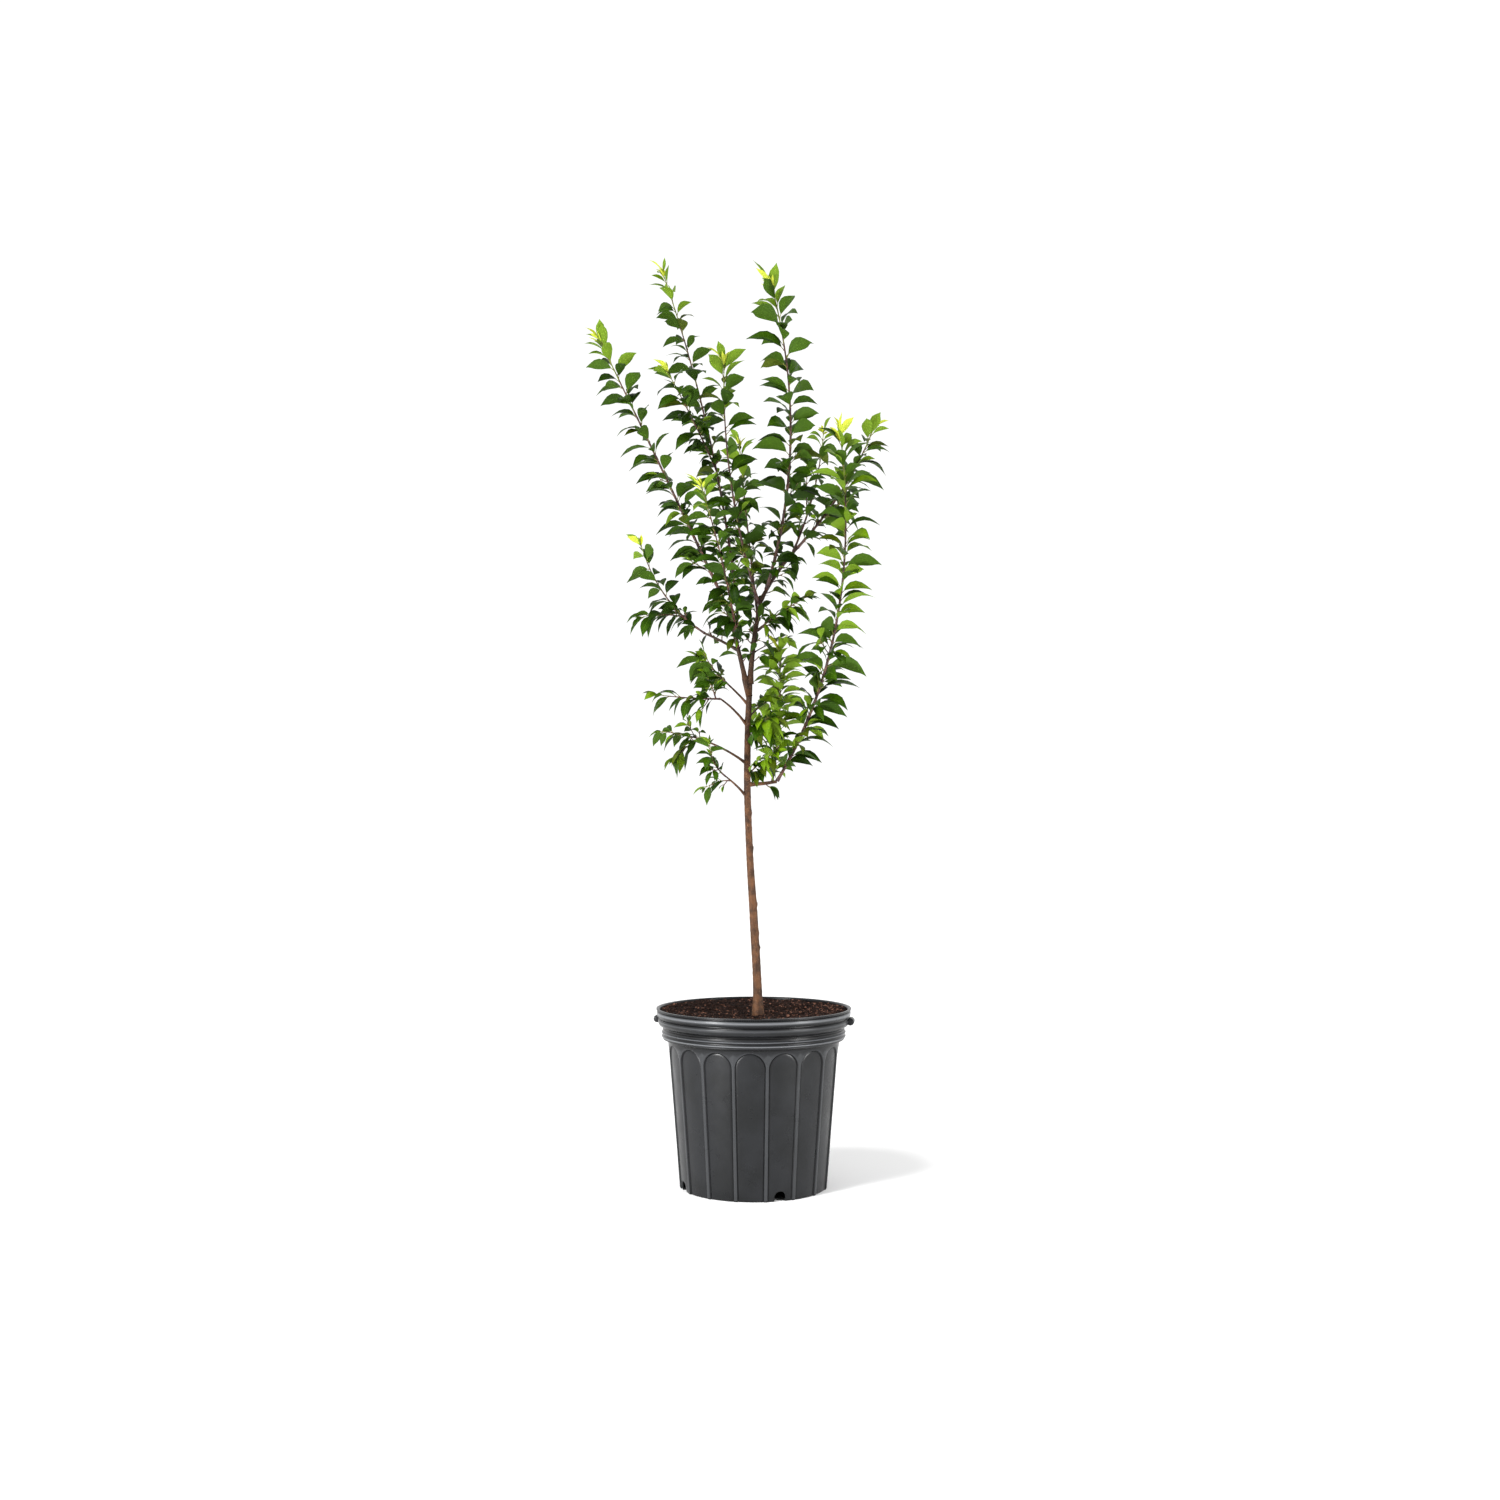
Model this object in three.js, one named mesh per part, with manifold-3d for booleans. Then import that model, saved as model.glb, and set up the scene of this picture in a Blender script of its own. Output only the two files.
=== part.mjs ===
// A young plum tree, almost 1.4 m of trunk and leafy shoots, in a round ribbed nursery pot.
// Millimetres, +Z up, front towards -Y. The origin is the centre of the pot's flat underside.
import * as THREE from "three";
import { mergeVertices } from "three/addons/utils/BufferGeometryUtils.js";
import Module from "manifold-3d";

const wasm = await Module();
wasm.setup();

// Clearance between two pieces that touch, and the step that corners are rounded to
const GAP = 0.3;
const GRID = 1 / 256;

// Pot: a tapering wall with arched panels, a collar with two beads, a sloping step and a thin lip.
// turn is how far round its panels and notches stand, in degrees, and the lugs have their own.
const POT = {
  height: 312,
  lipRadius: 172,
  lipHeight: 2.5,
  rimRadius: 168.6,
  rimHeight: 28,
  collarRadius: 160.2,
  collarTop: 275.5,
  collarBottom: 260.5,
  shoulderRadius: 151,
  shoulderHeight: 253,
  footRadius: 130.4,
  wall: 3,
  floor: 3,
  sides: 48,
  turn: -2.3,
};
const BEADS = { offsets: [3.3, 10.3], reach: 1.4, halfWidth: 2.5 };
const PANELS = { count: 16, depth: 1.5, rib: 6.5, top: 251.5, arcSteps: 4 };
const NOTCHES = { angles: [22.5, 112.5, -157.5, -67.5], width: 20, height: 17, reach: 18 };
const LUGS = { radius: 6.5, length: 26, height: 290.5, offset: 171.5, sides: 12, turn: -7.5 };

// Potting mix: heaped almost to the lip, and a little lower round the trunk
const SOIL = { level: 303, edgeLevel: 308, flatRadius: 60, sides: 24 };

// Trunk: planted off centre to the front, it leans and sweeps a little to the left, with a small root flare
const TRUNK = {
  foot: [7.6, -38, SOIL.level],
  low: [4, -12, 500],
  high: [-22, 6, 640],
  top: [-6.6, 0, 885],
  footRadius: 7.8,
  topRadius: 5.2,
  flare: 4.2,
  flareHeight: 22,
  sides: 12,
  steps: 12,
};
const BOUGH = { sides: 8, steps: 4 };

// Limbs are laid out on a front elevation, as they look from this far in front of the trunk and this high.
// A tip is [across, depth, height]; one that leans back is scaled up as far as it lies behind the trunk.
const EYE = { distance: 2950, height: 660 };

// Boughs: bare limbs. on is the limb that carries it, at its place there: a height on the trunk, or else
// a share of the carrier's length, where 1 carries straight on from the tip. bow moves the middle.
const BOUGHS = [
  {
    name: "bough_right", on: "trunk", at: 1, tip: [13, 4, 1034], bow: [-3, 0, 0],
    radii: [4.8, 3.9],
  },
  {
    name: "bough_left", on: "trunk", at: 862, tip: [-30, -8, 957], bow: [0, 0, 0],
    radii: [4.2, 3.7],
  },
  {
    name: "bough_far_right", on: "bough_right", at: 1, tip: [78, 30, 1128], bow: [-3, 0, 3],
    radii: [3.4, 2.9],
  },
  {
    name: "bough_upper_left", on: "bough_left", at: 1, tip: [-57, -24, 1042], bow: [2, 0, 0],
    radii: [3.5, 3.0],
  },
  {
    name: "bough_centre", on: "bough_upper_left", at: 0.16, tip: [-34, 18, 1062], bow: [4, 4, 0],
    radii: [2.8, 2.4],
  },
  {
    name: "bough_low_left", on: "bough_left", at: 0.86, tip: [-87, 16, 975], bow: [0, 0, 1],
    radii: [2.4, 2.0],
  },
  {
    name: "bough_side_right", on: "trunk", at: 706, tip: [41, -4, 711], bow: [0, 0, -1],
    radii: [3.2, 2.8],
  },
  {
    name: "branch_left_top", on: "trunk", at: 846, tip: [-48, 28, 886], bow: [0, 0, 1],
    radii: [1.9, 1.6],
  },
  {
    name: "branch_left_high", on: "trunk", at: 808, tip: [-59, -18, 858], bow: [0, 0, 4],
    radii: [2.1, 1.7],
  },
  {
    name: "branch_left_mid", on: "trunk", at: 742, tip: [-83, 26, 782], bow: [0, 0, 3],
    radii: [2.1, 1.7],
  },
  {
    name: "branch_left_low", on: "trunk", at: 682, tip: [-51, -16, 721], bow: [0, 0, 2],
    radii: [1.9, 1.5],
  },
];

// Masses of foliage: each is one leafy stem, with side stems where it forks and short twigs along it.
// leaves counts those on the stem itself, and leaf is a full-grown one's length.
const MASSES = [
  {
    name: "foliage_upper_left", on: "bough_upper_left", at: 1, tip: [-279, -95, 1508], bow: [2, 0, -2],
    radius: 2.7, leaves: 27, leaf: 54, twigs: 1,
  },
  {
    name: "foliage_top_left", on: "bough_centre", at: 1, tip: [-165, 70, 1630], bow: [16, 0, 0],
    radius: 2.4, leaves: 31, leaf: 47, twigs: 1,
    sides: [{ at: 0.36, tip: [-156, -90, 1448], bow: [2, -6, 0], radius: 1.7, leaves: 11, leaf: 52 }],
  },
  {
    name: "foliage_centre", on: "bough_right", at: 0.93, tip: [-53, -36, 1468], bow: [-19, -10, 0],
    radius: 2.4, leaves: 25, leaf: 60, twigs: 2,
  },
  {
    name: "foliage_tall_right", on: "bough_far_right", at: 0.14, tip: [31, -150, 1606], bow: [38, -14, 0],
    radius: 2.8, leaves: 30, leaf: 64, twigs: 1,
  },
  {
    name: "foliage_far_right", on: "bough_far_right", at: 1, tip: [215, 70, 1344], bow: [12, 0, -4],
    radius: 2.5, leaves: 18, leaf: 57, twigs: 1,
  },
  {
    name: "foliage_mid_right", on: "bough_far_right", at: 0.88, tip: [125, 165, 1338], bow: [10, 0, 0],
    radius: 2.0, leaves: 16, leaf: 47,
    sides: [{ at: 0.28, tip: [97, 50, 1278], bow: [-2, -6, 0], radius: 1.3, leaves: 8, leaf: 37 }],
  },
  {
    name: "foliage_outer_right", on: "bough_side_right", at: 1, tip: [154, -120, 1340], bow: [50, -16, -20],
    radius: 2.8, leaves: 33, leaf: 63, twigs: 1,
  },
  {
    name: "foliage_inner_right", on: "bough_side_right", at: 0.84, tip: [45, 34, 946], bow: [7, 8, 0],
    radius: 1.9, leaves: 17, leaf: 48, twigs: 1,
  },
  {
    name: "foliage_low_left", on: "bough_low_left", at: 1, tip: [-202, 96, 1136], bow: [-13, 0, -14],
    radius: 1.9, leaves: 14, leaf: 46, twigs: 1,
    sides: [{ at: 0.24, tip: [-200, 6, 1004], bow: [0, 0, 4], radius: 1.2, leaves: 8, leaf: 41 }],
  },
  {
    name: "foliage_left_top", on: "branch_left_top", at: 1, tip: [-96, 62, 930], bow: [0, 0, 2],
    radius: 1.5, leaves: 9, leaf: 44, twigs: 2,
  },
  {
    name: "foliage_left_high", on: "branch_left_high", at: 1, tip: [-176, -70, 866], bow: [0, 0, -2],
    radius: 1.6, leaves: 10, leaf: 37, twigs: 1,
    sides: [{ at: 0.06, tip: [-82, -48, 896], bow: [0, 0, 3], radius: 1.2, leaves: 6, leaf: 37 }],
  },
  {
    name: "foliage_left_mid", on: "branch_left_mid", at: 1, tip: [-166, 84, 800], bow: [0, 0, 3],
    radius: 1.5, leaves: 9, leaf: 36, twigs: 1,
    sides: [{ at: 0.12, tip: [-140, 30, 752], bow: [0, 0, 5], radius: 1.2, leaves: 7, leaf: 39 }],
  },
  {
    name: "foliage_left_low", on: "branch_left_low", at: 1, tip: [-78, -62, 778], bow: [-6, 0, -4],
    radius: 1.3, leaves: 9, leaf: 38, twigs: 1,
  },
  {
    name: "foliage_left_twig", on: "branch_left_low", at: 0.72, tip: [-86, 10, 700], bow: [0, 0, 4],
    radius: 1.1, leaves: 4, leaf: 31,
  },
  {
    name: "foliage_right_top", on: "trunk", at: 824, tip: [34, 84, 858], bow: [0, 4, 4],
    radius: 1.5, leaves: 8, leaf: 44,
  },
  {
    name: "foliage_right_high", on: "trunk", at: 782, tip: [27, -66, 826], bow: [0, -2, 2],
    radius: 1.5, leaves: 8, leaf: 44,
  },
  {
    name: "foliage_right_low", on: "trunk", at: 722, tip: [36, -70, 762], bow: [0, 0, 2],
    radius: 1.2, leaves: 7, leaf: 41,
  },
  {
    name: "foliage_right_spray", on: "bough_right", at: 0.62, tip: [94, -56, 1040], bow: [0, 0, 3],
    radius: 1.6, leaves: 11, leaf: 40, twigs: 1,
  },
  {
    name: "foliage_right_twig", on: "bough_right", at: 0.36, tip: [58, 60, 966], bow: [0, 0, 3],
    radius: 1.2, leaves: 7, leaf: 38,
  },
  {
    name: "foliage_front", on: "bough_left", at: 0.9, tip: [-94, -215, 1240], bow: [8, -26, -8],
    radius: 2.1, leaves: 18, leaf: 50, twigs: 1,
  },
  {
    name: "foliage_back", on: "bough_right", at: 0.8, tip: [-26, 225, 1318], bow: [0, 26, -8],
    radius: 2.2, leaves: 18, leaf: 54, twigs: 1,
  },
];

// Growth rule, the same for every stem. Angles in degrees; shares are of the stem's length.
const GROWTH = {
  seed: 11,
  turn: 137.5,
  turnScatter: 34,
  firstLeaf: 0.03,
  rise: 36,
  tipRise: 20,
  riseScatter: 18,
  bend: 58,
  bendScatter: 30,
  rollScatter: 120,
  smallestAtBase: 0.6,
  fullSizeFrom: 0.14,
  youngFrom: 0.86,
  tipSize: 0.72,
  sizeScatter: 0.32,
};
const LEAF = { width: 0.52, widest: 0.52, thickness: 1.3, sunk: 0.4, sunkStep: 0.03, deepest: 0.8 };
const STEM = { taper: 0.68, sides: 3, stepLength: 45, fewestSteps: 4, stoutness: 1.25 };
const TWIG = {
  length: 38,
  rise: 52,
  leaves: 4,
  leafSize: 0.82,
  radius: 0.9,
  firstLeaf: 0.3,
  span: [0.06, 0.5],
};
// Own space: balls along every limb and leaf, which those of another mass may not touch
const SPACE = { limbStep: 7, limbMargin: 1.6, leafBall: 0.13 };
// A limb is brought up to its carrier in a few moves, and looks for it this far round
const SEAT = { moves: 12, search: 20 };

const DEGREE = Math.PI / 180;
const UP = new THREE.Vector3(0, 0, 1);
const BACK = new THREE.Vector3(0, 1, 0);

// Solids

// A geometry with its shared corners merged and the triangles that collapsed left out
function merged(geometry, tolerance) {
  const bare = new THREE.BufferGeometry();
  bare.setAttribute("position", geometry.getAttribute("position"));
  bare.setIndex(geometry.index);
  const joined = mergeVertices(bare, tolerance);
  const corners = joined.index.array;
  const kept = [];
  for (let i = 0; i < corners.length; i += 3) {
    const [a, b, c] = [corners[i], corners[i + 1], corners[i + 2]];
    if (a !== b && b !== c && c !== a) kept.push(a, b, c);
  }
  return joined.setIndex(kept);
}

function solidOf(geometry) {
  const { index, attributes } = merged(geometry, 1e-4);
  const vertProperties = attributes.position.array;
  const triVerts = Uint32Array.from(index.array);
  return new wasm.Manifold(new wasm.Mesh({ numProp: 3, vertProperties, triVerts }));
}

// A solid's triangles, with every corner rounded to the grid
function geometryOf(solid) {
  const mesh = solid.getMesh();
  const positions = mesh.vertProperties.map((value) => Math.round(value / GRID) * GRID);
  const geometry = new THREE.BufferGeometry();
  geometry.setAttribute("position", new THREE.BufferAttribute(positions, 3));
  geometry.setIndex(new THREE.BufferAttribute(mesh.triVerts, 1));
  return merged(geometry, GRID / 2);
}

// Whether every edge joins just two triangles
function isClosed(geometry) {
  const corners = geometry.index.array;
  const uses = new Map();
  for (let i = 0; i < corners.length; i++) {
    const next = i % 3 === 2 ? i - 2 : i + 1;
    const [low, high] = [corners[i], corners[next]].sort((a, b) => a - b);
    const edge = `${low} ${high}`;
    uses.set(edge, (uses.get(edge) ?? 0) + 1);
  }
  return [...uses.values()].every((count) => count === 2);
}

// The least height of any triangle
function leastHeight(geometry) {
  const positions = geometry.getAttribute("position");
  const corners = geometry.index.array;
  let least = Infinity;
  for (let i = 0; i < corners.length; i += 3) {
    const triangle = new THREE.Triangle();
    triangle.setFromAttributeAndIndices(positions, corners[i], corners[i + 1], corners[i + 2]);
    const { a, b, c } = triangle;
    const longest = Math.max(a.distanceTo(b), b.distanceTo(c), c.distanceTo(a));
    least = Math.min(least, (2 * triangle.getArea()) / longest);
  }
  return least;
}

// The largest body of a union, which leaves out sealed hollows and loose scraps
function mainBody(solid) {
  const bodies = solid.decompose().sort((a, b) => b.volume() - a.volume());
  return bodies[0];
}

function turnedProfile(sides, profile) {
  const points = profile.map(([radius, height]) => new THREE.Vector2(radius, height));
  return solidOf(new THREE.LatheGeometry(points, sides).rotateX(Math.PI / 2));
}

// A tube round a curve, with rings square to it and radii from a function of the share along it
function taperedTube(curve, radiusAt, sides, steps) {
  const positions = [];
  const faces = [];
  for (let i = 0; i <= steps; i++) {
    const share = i / steps;
    const centre = curve.getPoint(share);
    const { across, along } = frameAt(curve, share);
    for (let j = 0; j < sides; j++) {
      const angle = (2 * Math.PI * j) / sides;
      const spoke = across.clone().multiplyScalar(Math.cos(angle)).addScaledVector(along, Math.sin(angle));
      positions.push(...centre.clone().addScaledVector(spoke, radiusAt(share)).toArray());
    }
  }
  for (let i = 0; i < steps; i++) {
    for (let j = 0; j < sides; j++) {
      const a = i * sides + j;
      const b = i * sides + ((j + 1) % sides);
      faces.push(a, b, b + sides, a, b + sides, a + sides);
    }
  }
  const last = steps * sides;
  for (let j = 1; j < sides - 1; j++) {
    faces.push(0, j + 1, j);
    faces.push(last, last + j, last + j + 1);
  }
  const geometry = new THREE.BufferGeometry();
  geometry.setAttribute("position", new THREE.Float32BufferAttribute(positions, 3));
  geometry.setIndex(faces);
  return solidOf(geometry);
}

// Directions square to a curve: across runs to the right on an upright limb, and along to the back
function frameAt(curve, share) {
  const tangent = curve.getTangent(share);
  const across = BACK.clone().cross(tangent).normalize();
  const along = tangent.clone().cross(across);
  return { tangent, across, along };
}

// Pot and potting mix

function potWallProfile(inset) {
  const { collarRadius: collar, collarBottom, collarTop } = POT;
  const rimBottom = POT.height - POT.rimHeight;
  return [
    [POT.footRadius - inset, 0],
    [POT.shoulderRadius - inset, POT.shoulderHeight],
    [POT.shoulderRadius + 2 - inset, collarBottom - 5],
    [collar - inset, collarBottom],
    [collar - inset, collarTop],
    [POT.rimRadius - inset, rimBottom],
    [POT.rimRadius - inset, POT.height - POT.lipHeight],
  ];
}

// The wall's outer side again, with the beads that stand out of the collar
function beadedProfile() {
  const profile = potWallProfile(0);
  const collarEnd = profile.findIndex(([, height]) => height === POT.collarTop);
  const beads = BEADS.offsets.flatMap((offset) => [
    [POT.collarRadius, POT.collarBottom + offset - BEADS.halfWidth],
    [POT.collarRadius + BEADS.reach, POT.collarBottom + offset],
    [POT.collarRadius, POT.collarBottom + offset + BEADS.halfWidth],
  ]);
  profile.splice(collarEnd - 1, 1, ...beads);
  return profile;
}

// Panels: arch-topped hollows pressed into the wall, which leave narrow ribs between them
function panelHollows() {
  const pitch = (2 * Math.PI) / PANELS.count;
  const topHalf = (POT.shoulderRadius * pitch - PANELS.rib) / 2;
  const footHalf = (POT.footRadius * pitch - PANELS.rib) / 2;
  const spring = PANELS.top - topHalf;
  const outline = new THREE.Shape();
  outline.moveTo(-footHalf, -PANELS.depth);
  outline.lineTo(footHalf, -PANELS.depth);
  outline.lineTo(topHalf, spring);
  outline.absarc(0, spring, topHalf, 0, Math.PI);
  outline.closePath();
  const reach = 2 * (POT.shoulderRadius - POT.footRadius);
  const start = POT.footRadius * Math.cos(pitch / 2) - PANELS.depth - 2;
  const depthOf = { depth: reach, bevelEnabled: false, curveSegments: PANELS.arcSteps };
  const core = turnedProfile(POT.sides, [
    [0, -2 * PANELS.depth],
    [POT.footRadius - PANELS.depth, -2 * PANELS.depth],
    [POT.footRadius - PANELS.depth, 0],
    [POT.shoulderRadius - PANELS.depth, POT.shoulderHeight],
    [0, POT.shoulderHeight],
  ]);
  const cutters = Array.from({ length: PANELS.count }, (_, i) => {
    const prism = new THREE.ExtrudeGeometry(outline, depthOf);
    prism.translate(0, 0, start).rotateX(Math.PI / 2).rotateZ(i * pitch + POT.turn * DEGREE);
    return solidOf(prism).subtract(core);
  });
  return wasm.Manifold.union(cutters);
}

// Drain notches: four arches through the wall and the floor's edge
function drainNotches() {
  const half = NOTCHES.width / 2;
  const spring = NOTCHES.height - half;
  const outline = new THREE.Shape();
  outline.moveTo(-half, -1);
  outline.lineTo(half, -1);
  outline.lineTo(half, spring);
  outline.absarc(0, spring, half, 0, Math.PI);
  outline.closePath();
  const depthOf = { depth: NOTCHES.reach + 5, bevelEnabled: false, curveSegments: PANELS.arcSteps };
  const cutters = NOTCHES.angles.map((angle) => {
    const prism = new THREE.ExtrudeGeometry(outline, depthOf);
    prism.translate(0, 0, POT.footRadius - NOTCHES.reach).rotateX(Math.PI / 2);
    prism.rotateZ((angle + POT.turn) * DEGREE);
    return solidOf(prism);
  });
  return wasm.Manifold.union(cutters);
}

function potSolid() {
  const inside = potWallProfile(POT.wall).reverse();
  const innerFoot = inside.pop()[0];
  const wall = turnedProfile(POT.sides, [
    [0, 0],
    ...beadedProfile(),
    [POT.lipRadius, POT.height - POT.lipHeight],
    [POT.lipRadius, POT.height],
    [POT.rimRadius - POT.wall + 2, POT.height],
    ...inside,
    [innerFoot, POT.floor],
    [0, POT.floor],
  ]);
  const lugs = [-1, 1].map((side) => {
    const bar = new THREE.CylinderGeometry(LUGS.radius, LUGS.radius, LUGS.length, LUGS.sides);
    return solidOf(bar.translate(side * LUGS.offset, 0, LUGS.height).rotateZ(LUGS.turn * DEGREE));
  });
  return wasm.Manifold.union([wall, ...lugs]).subtract(panelHollows()).subtract(drainNotches());
}

function soilSolid() {
  const side = potWallProfile(POT.wall + 2 * GAP).filter(([, height]) => height < SOIL.edgeLevel);
  const foot = side.shift()[0];
  return turnedProfile(SOIL.sides, [
    [0, POT.floor + GAP],
    [foot, POT.floor + GAP],
    ...side,
    [POT.rimRadius - POT.wall - 2 * GAP, SOIL.edgeLevel],
    [SOIL.flatRadius, SOIL.level],
    [0, SOIL.level],
  ]);
}

// Limbs

function fromFront([across, depth, height]) {
  const scale = 1 + depth / EYE.distance;
  return new THREE.Vector3(across * scale, depth, EYE.height + (height - EYE.height) * scale);
}

function trunkLimb() {
  const points = [TRUNK.foot, TRUNK.low, TRUNK.high, TRUNK.top].map((point) => new THREE.Vector3(...point));
  const curve = new THREE.CubicBezierCurve3(...points);
  const rise = TRUNK.top[2] - TRUNK.foot[2];
  const radiusAt = (share) => {
    const flare = TRUNK.flare * Math.exp(-(share * rise) / TRUNK.flareHeight);
    return THREE.MathUtils.lerp(TRUNK.footRadius, TRUNK.topRadius, share) + flare;
  };
  const whole = taperedTube(curve, radiusAt, TRUNK.sides, TRUNK.steps);
  return { curve, radiusAt, tube: whole.trimByPlane([0, 0, 1], SOIL.level + GAP) };
}

// The share of the trunk's curve at which it reaches a height
function shareAtHeight(curve, height) {
  let low = 0;
  let high = 1;
  for (let i = 0; i < 40; i++) {
    const middle = (low + high) / 2;
    if (curve.getPoint(middle).z < height) low = middle;
    else high = middle;
  }
  return low;
}

// A limb's curve starts clear of its carrier: beyond its tip, or off its side
function limbCurve(carrier, { at, tip, bow }, radius) {
  const share = at > 1 ? shareAtHeight(carrier.curve, at) : at;
  const root = carrier.curve.getPoint(share);
  const tangent = carrier.curve.getTangent(share);
  const end = fromFront(tip);
  const control = root.clone().add(end).multiplyScalar(0.5);
  control.addScaledVector(new THREE.Vector3(...bow), 2);
  const heading = control.clone().sub(root).normalize();
  const cosine = Math.abs(heading.dot(tangent));
  const sine = Math.sqrt(1 - cosine * cosine);
  const beyond = (GAP + radius * sine) / cosine;
  const aside = (carrier.radiusAt(share) + GAP + radius * cosine) / sine;
  const start = root.clone().addScaledVector(heading, share === 1 ? beyond : aside);
  return new THREE.QuadraticBezierCurve3(start, control, end);
}

// Draws a limb's start back along its own heading, until its tube stands just clear of the wood so far
function seated(limb, wood) {
  const { curve, drawTube } = limb;
  const heading = curve.v1.clone().sub(curve.v0).normalize();
  for (let i = 0; i < SEAT.moves; i++) {
    curve.v0.addScaledVector(heading, GAP - drawTube().minGap(wood, SEAT.search));
  }
  return { ...limb, tube: drawTube() };
}

function woodOf(limbs) {
  return wasm.Manifold.union(Object.values(limbs).map((limb) => limb.tube));
}

function boughLimb(bough, limbs) {
  const [base, end] = bough.radii;
  const curve = limbCurve(limbs[bough.on], bough, base);
  const radiusAt = (share) => THREE.MathUtils.lerp(base, end, share);
  const drawTube = () => taperedTube(curve, radiusAt, BOUGH.sides, BOUGH.steps);
  return seated({ curve, radiusAt, drawTube }, woodOf(limbs));
}

// A leafy stem or twig: the tube is stouter than the stem, since its three sides cut the round short
function leafyLimb(curve, radiusAt) {
  const steps = Math.max(STEM.fewestSteps, Math.round(curve.getLength() / STEM.stepLength));
  const girthAt = (share) => STEM.stoutness * radiusAt(share);
  const drawTube = () => taperedTube(curve, girthAt, STEM.sides, steps);
  return { curve, radiusAt, drawTube, tube: drawTube() };
}

function stemLimb(stem, carrier) {
  const curve = limbCurve(carrier, stem, stem.radius * STEM.stoutness);
  return leafyLimb(curve, (share) => stem.radius * (1 - STEM.taper * share));
}

// A side stem starts inside the stem that it forks from, so that the two fuse
function forkLimb(side, main) {
  const limb = stemLimb(side, main);
  limb.curve.v0.copy(main.curve.getPoint(side.at));
  return { ...limb, tube: limb.drawTube() };
}

// Growth

// Even numbers from 0 to 1 that are the same for the same seed
function seededNumbers(seed) {
  let state = Math.imul(seed, 2654435761) >>> 0;
  return () => {
    state = (Math.imul(state, 1664525) + 1013904223) >>> 0;
    return state / 4294967296;
  };
}

// A leaf: its midrib leaves the stem at root and bends over towards the ground on an arc
function growLeaf(limb, share, azimuth, size, young, random) {
  const { tangent, across, along } = frameAt(limb.curve, share);
  const outward = across.multiplyScalar(Math.cos(azimuth)).addScaledVector(along, Math.sin(azimuth));
  const usual = THREE.MathUtils.lerp(GROWTH.rise, GROWTH.tipRise, young);
  const rise = usual + GROWTH.riseScatter * (random() - 0.5);
  const heading = tangent.clone().multiplyScalar(Math.cos(rise * DEGREE));
  heading.addScaledVector(outward, Math.sin(rise * DEGREE));
  const droop = GROWTH.bend * (1 - 0.6 * young) + GROWTH.bendScatter * (random() - 0.5);
  const bend = Math.min(droop * DEGREE, 0.8 * heading.angleTo(UP.clone().negate()));
  const roll = GROWTH.rollScatter * (random() - 0.5) * DEGREE;
  const root = limb.curve.getPoint(share);
  return { root, heading, bend, roll, size, stemRadius: limb.radiusAt(share) };
}

// A point on a leaf, at a share of its length and an offset of its width, with the directions there
function leafPoint(leaf, share, offset) {
  const hinge = UP.clone().cross(leaf.heading).normalize();
  const fall = hinge.clone().cross(leaf.heading);
  const turn = leaf.bend * share;
  const forward = (leaf.size * Math.sin(turn)) / leaf.bend;
  const down = (leaf.size * (1 - Math.cos(turn))) / leaf.bend;
  const direction = leaf.heading.clone().multiplyScalar(Math.cos(turn));
  direction.addScaledVector(fall, Math.sin(turn));
  const upper = direction.clone().cross(hinge);
  const side = hinge.multiplyScalar(Math.cos(leaf.roll)).addScaledVector(upper, Math.sin(leaf.roll));
  const point = leaf.root.clone().addScaledVector(leaf.heading, forward).addScaledVector(fall, down);
  point.addScaledVector(side, offset * leaf.size * LEAF.width);
  return { point, normal: direction.cross(side) };
}

// Eight faces: two pointed ends on a flat rhombus at the widest place
function leafSolid(leaf, sunk) {
  const { point: middle, normal } = leafPoint(leaf, LEAF.widest, 0);
  const half = LEAF.thickness / 2;
  const corners = [
    leaf.root.clone().addScaledVector(leaf.heading, -sunk * leaf.stemRadius),
    leafPoint(leaf, 1, 0).point,
    leafPoint(leaf, LEAF.widest, 0.5).point,
    middle.clone().addScaledVector(normal, half),
    leafPoint(leaf, LEAF.widest, -0.5).point,
    middle.clone().addScaledVector(normal, -half),
  ];
  const faces = [];
  for (let i = 0; i < 4; i++) {
    const a = 2 + i;
    const b = 2 + ((i + 1) % 4);
    faces.push(a, b, 1, b, a, 0);
  }
  const geometry = new THREE.BufferGeometry();
  const positions = corners.flatMap((corner) => corner.toArray());
  geometry.setAttribute("position", new THREE.Float32BufferAttribute(positions, 3));
  geometry.setIndex(faces);
  return solidOf(geometry);
}

function leafBalls(leaf) {
  const places = [[0.3, 0], [0.55, 0], [0.55, 0.4], [0.55, -0.4], [0.8, 0], [1, 0]];
  const radius = leaf.size * SPACE.leafBall;
  return places.map(([share, offset]) => ({ centre: leafPoint(leaf, share, offset).point, radius }));
}

function limbBalls(limb) {
  const count = Math.ceil(limb.curve.getLength() / SPACE.limbStep);
  return Array.from({ length: count + 1 }, (_, i) => {
    const share = i / count;
    return { centre: limb.curve.getPoint(share), radius: limb.radiusAt(share) + SPACE.limbMargin };
  });
}

// Every ball with its owner; balls of different owners may not touch
class OwnSpace {
  constructor() {
    this.taken = [];
  }

  keep(owner, balls) {
    for (const { centre, radius } of balls) this.taken.push({ owner, centre, radius });
  }

  isFree(owner, balls) {
    return !balls.some(({ centre, radius }) =>
      this.taken.some(
        (ball) => ball.owner !== owner && ball.centre.distanceTo(centre) < ball.radius + radius,
      ),
    );
  }
}

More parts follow.
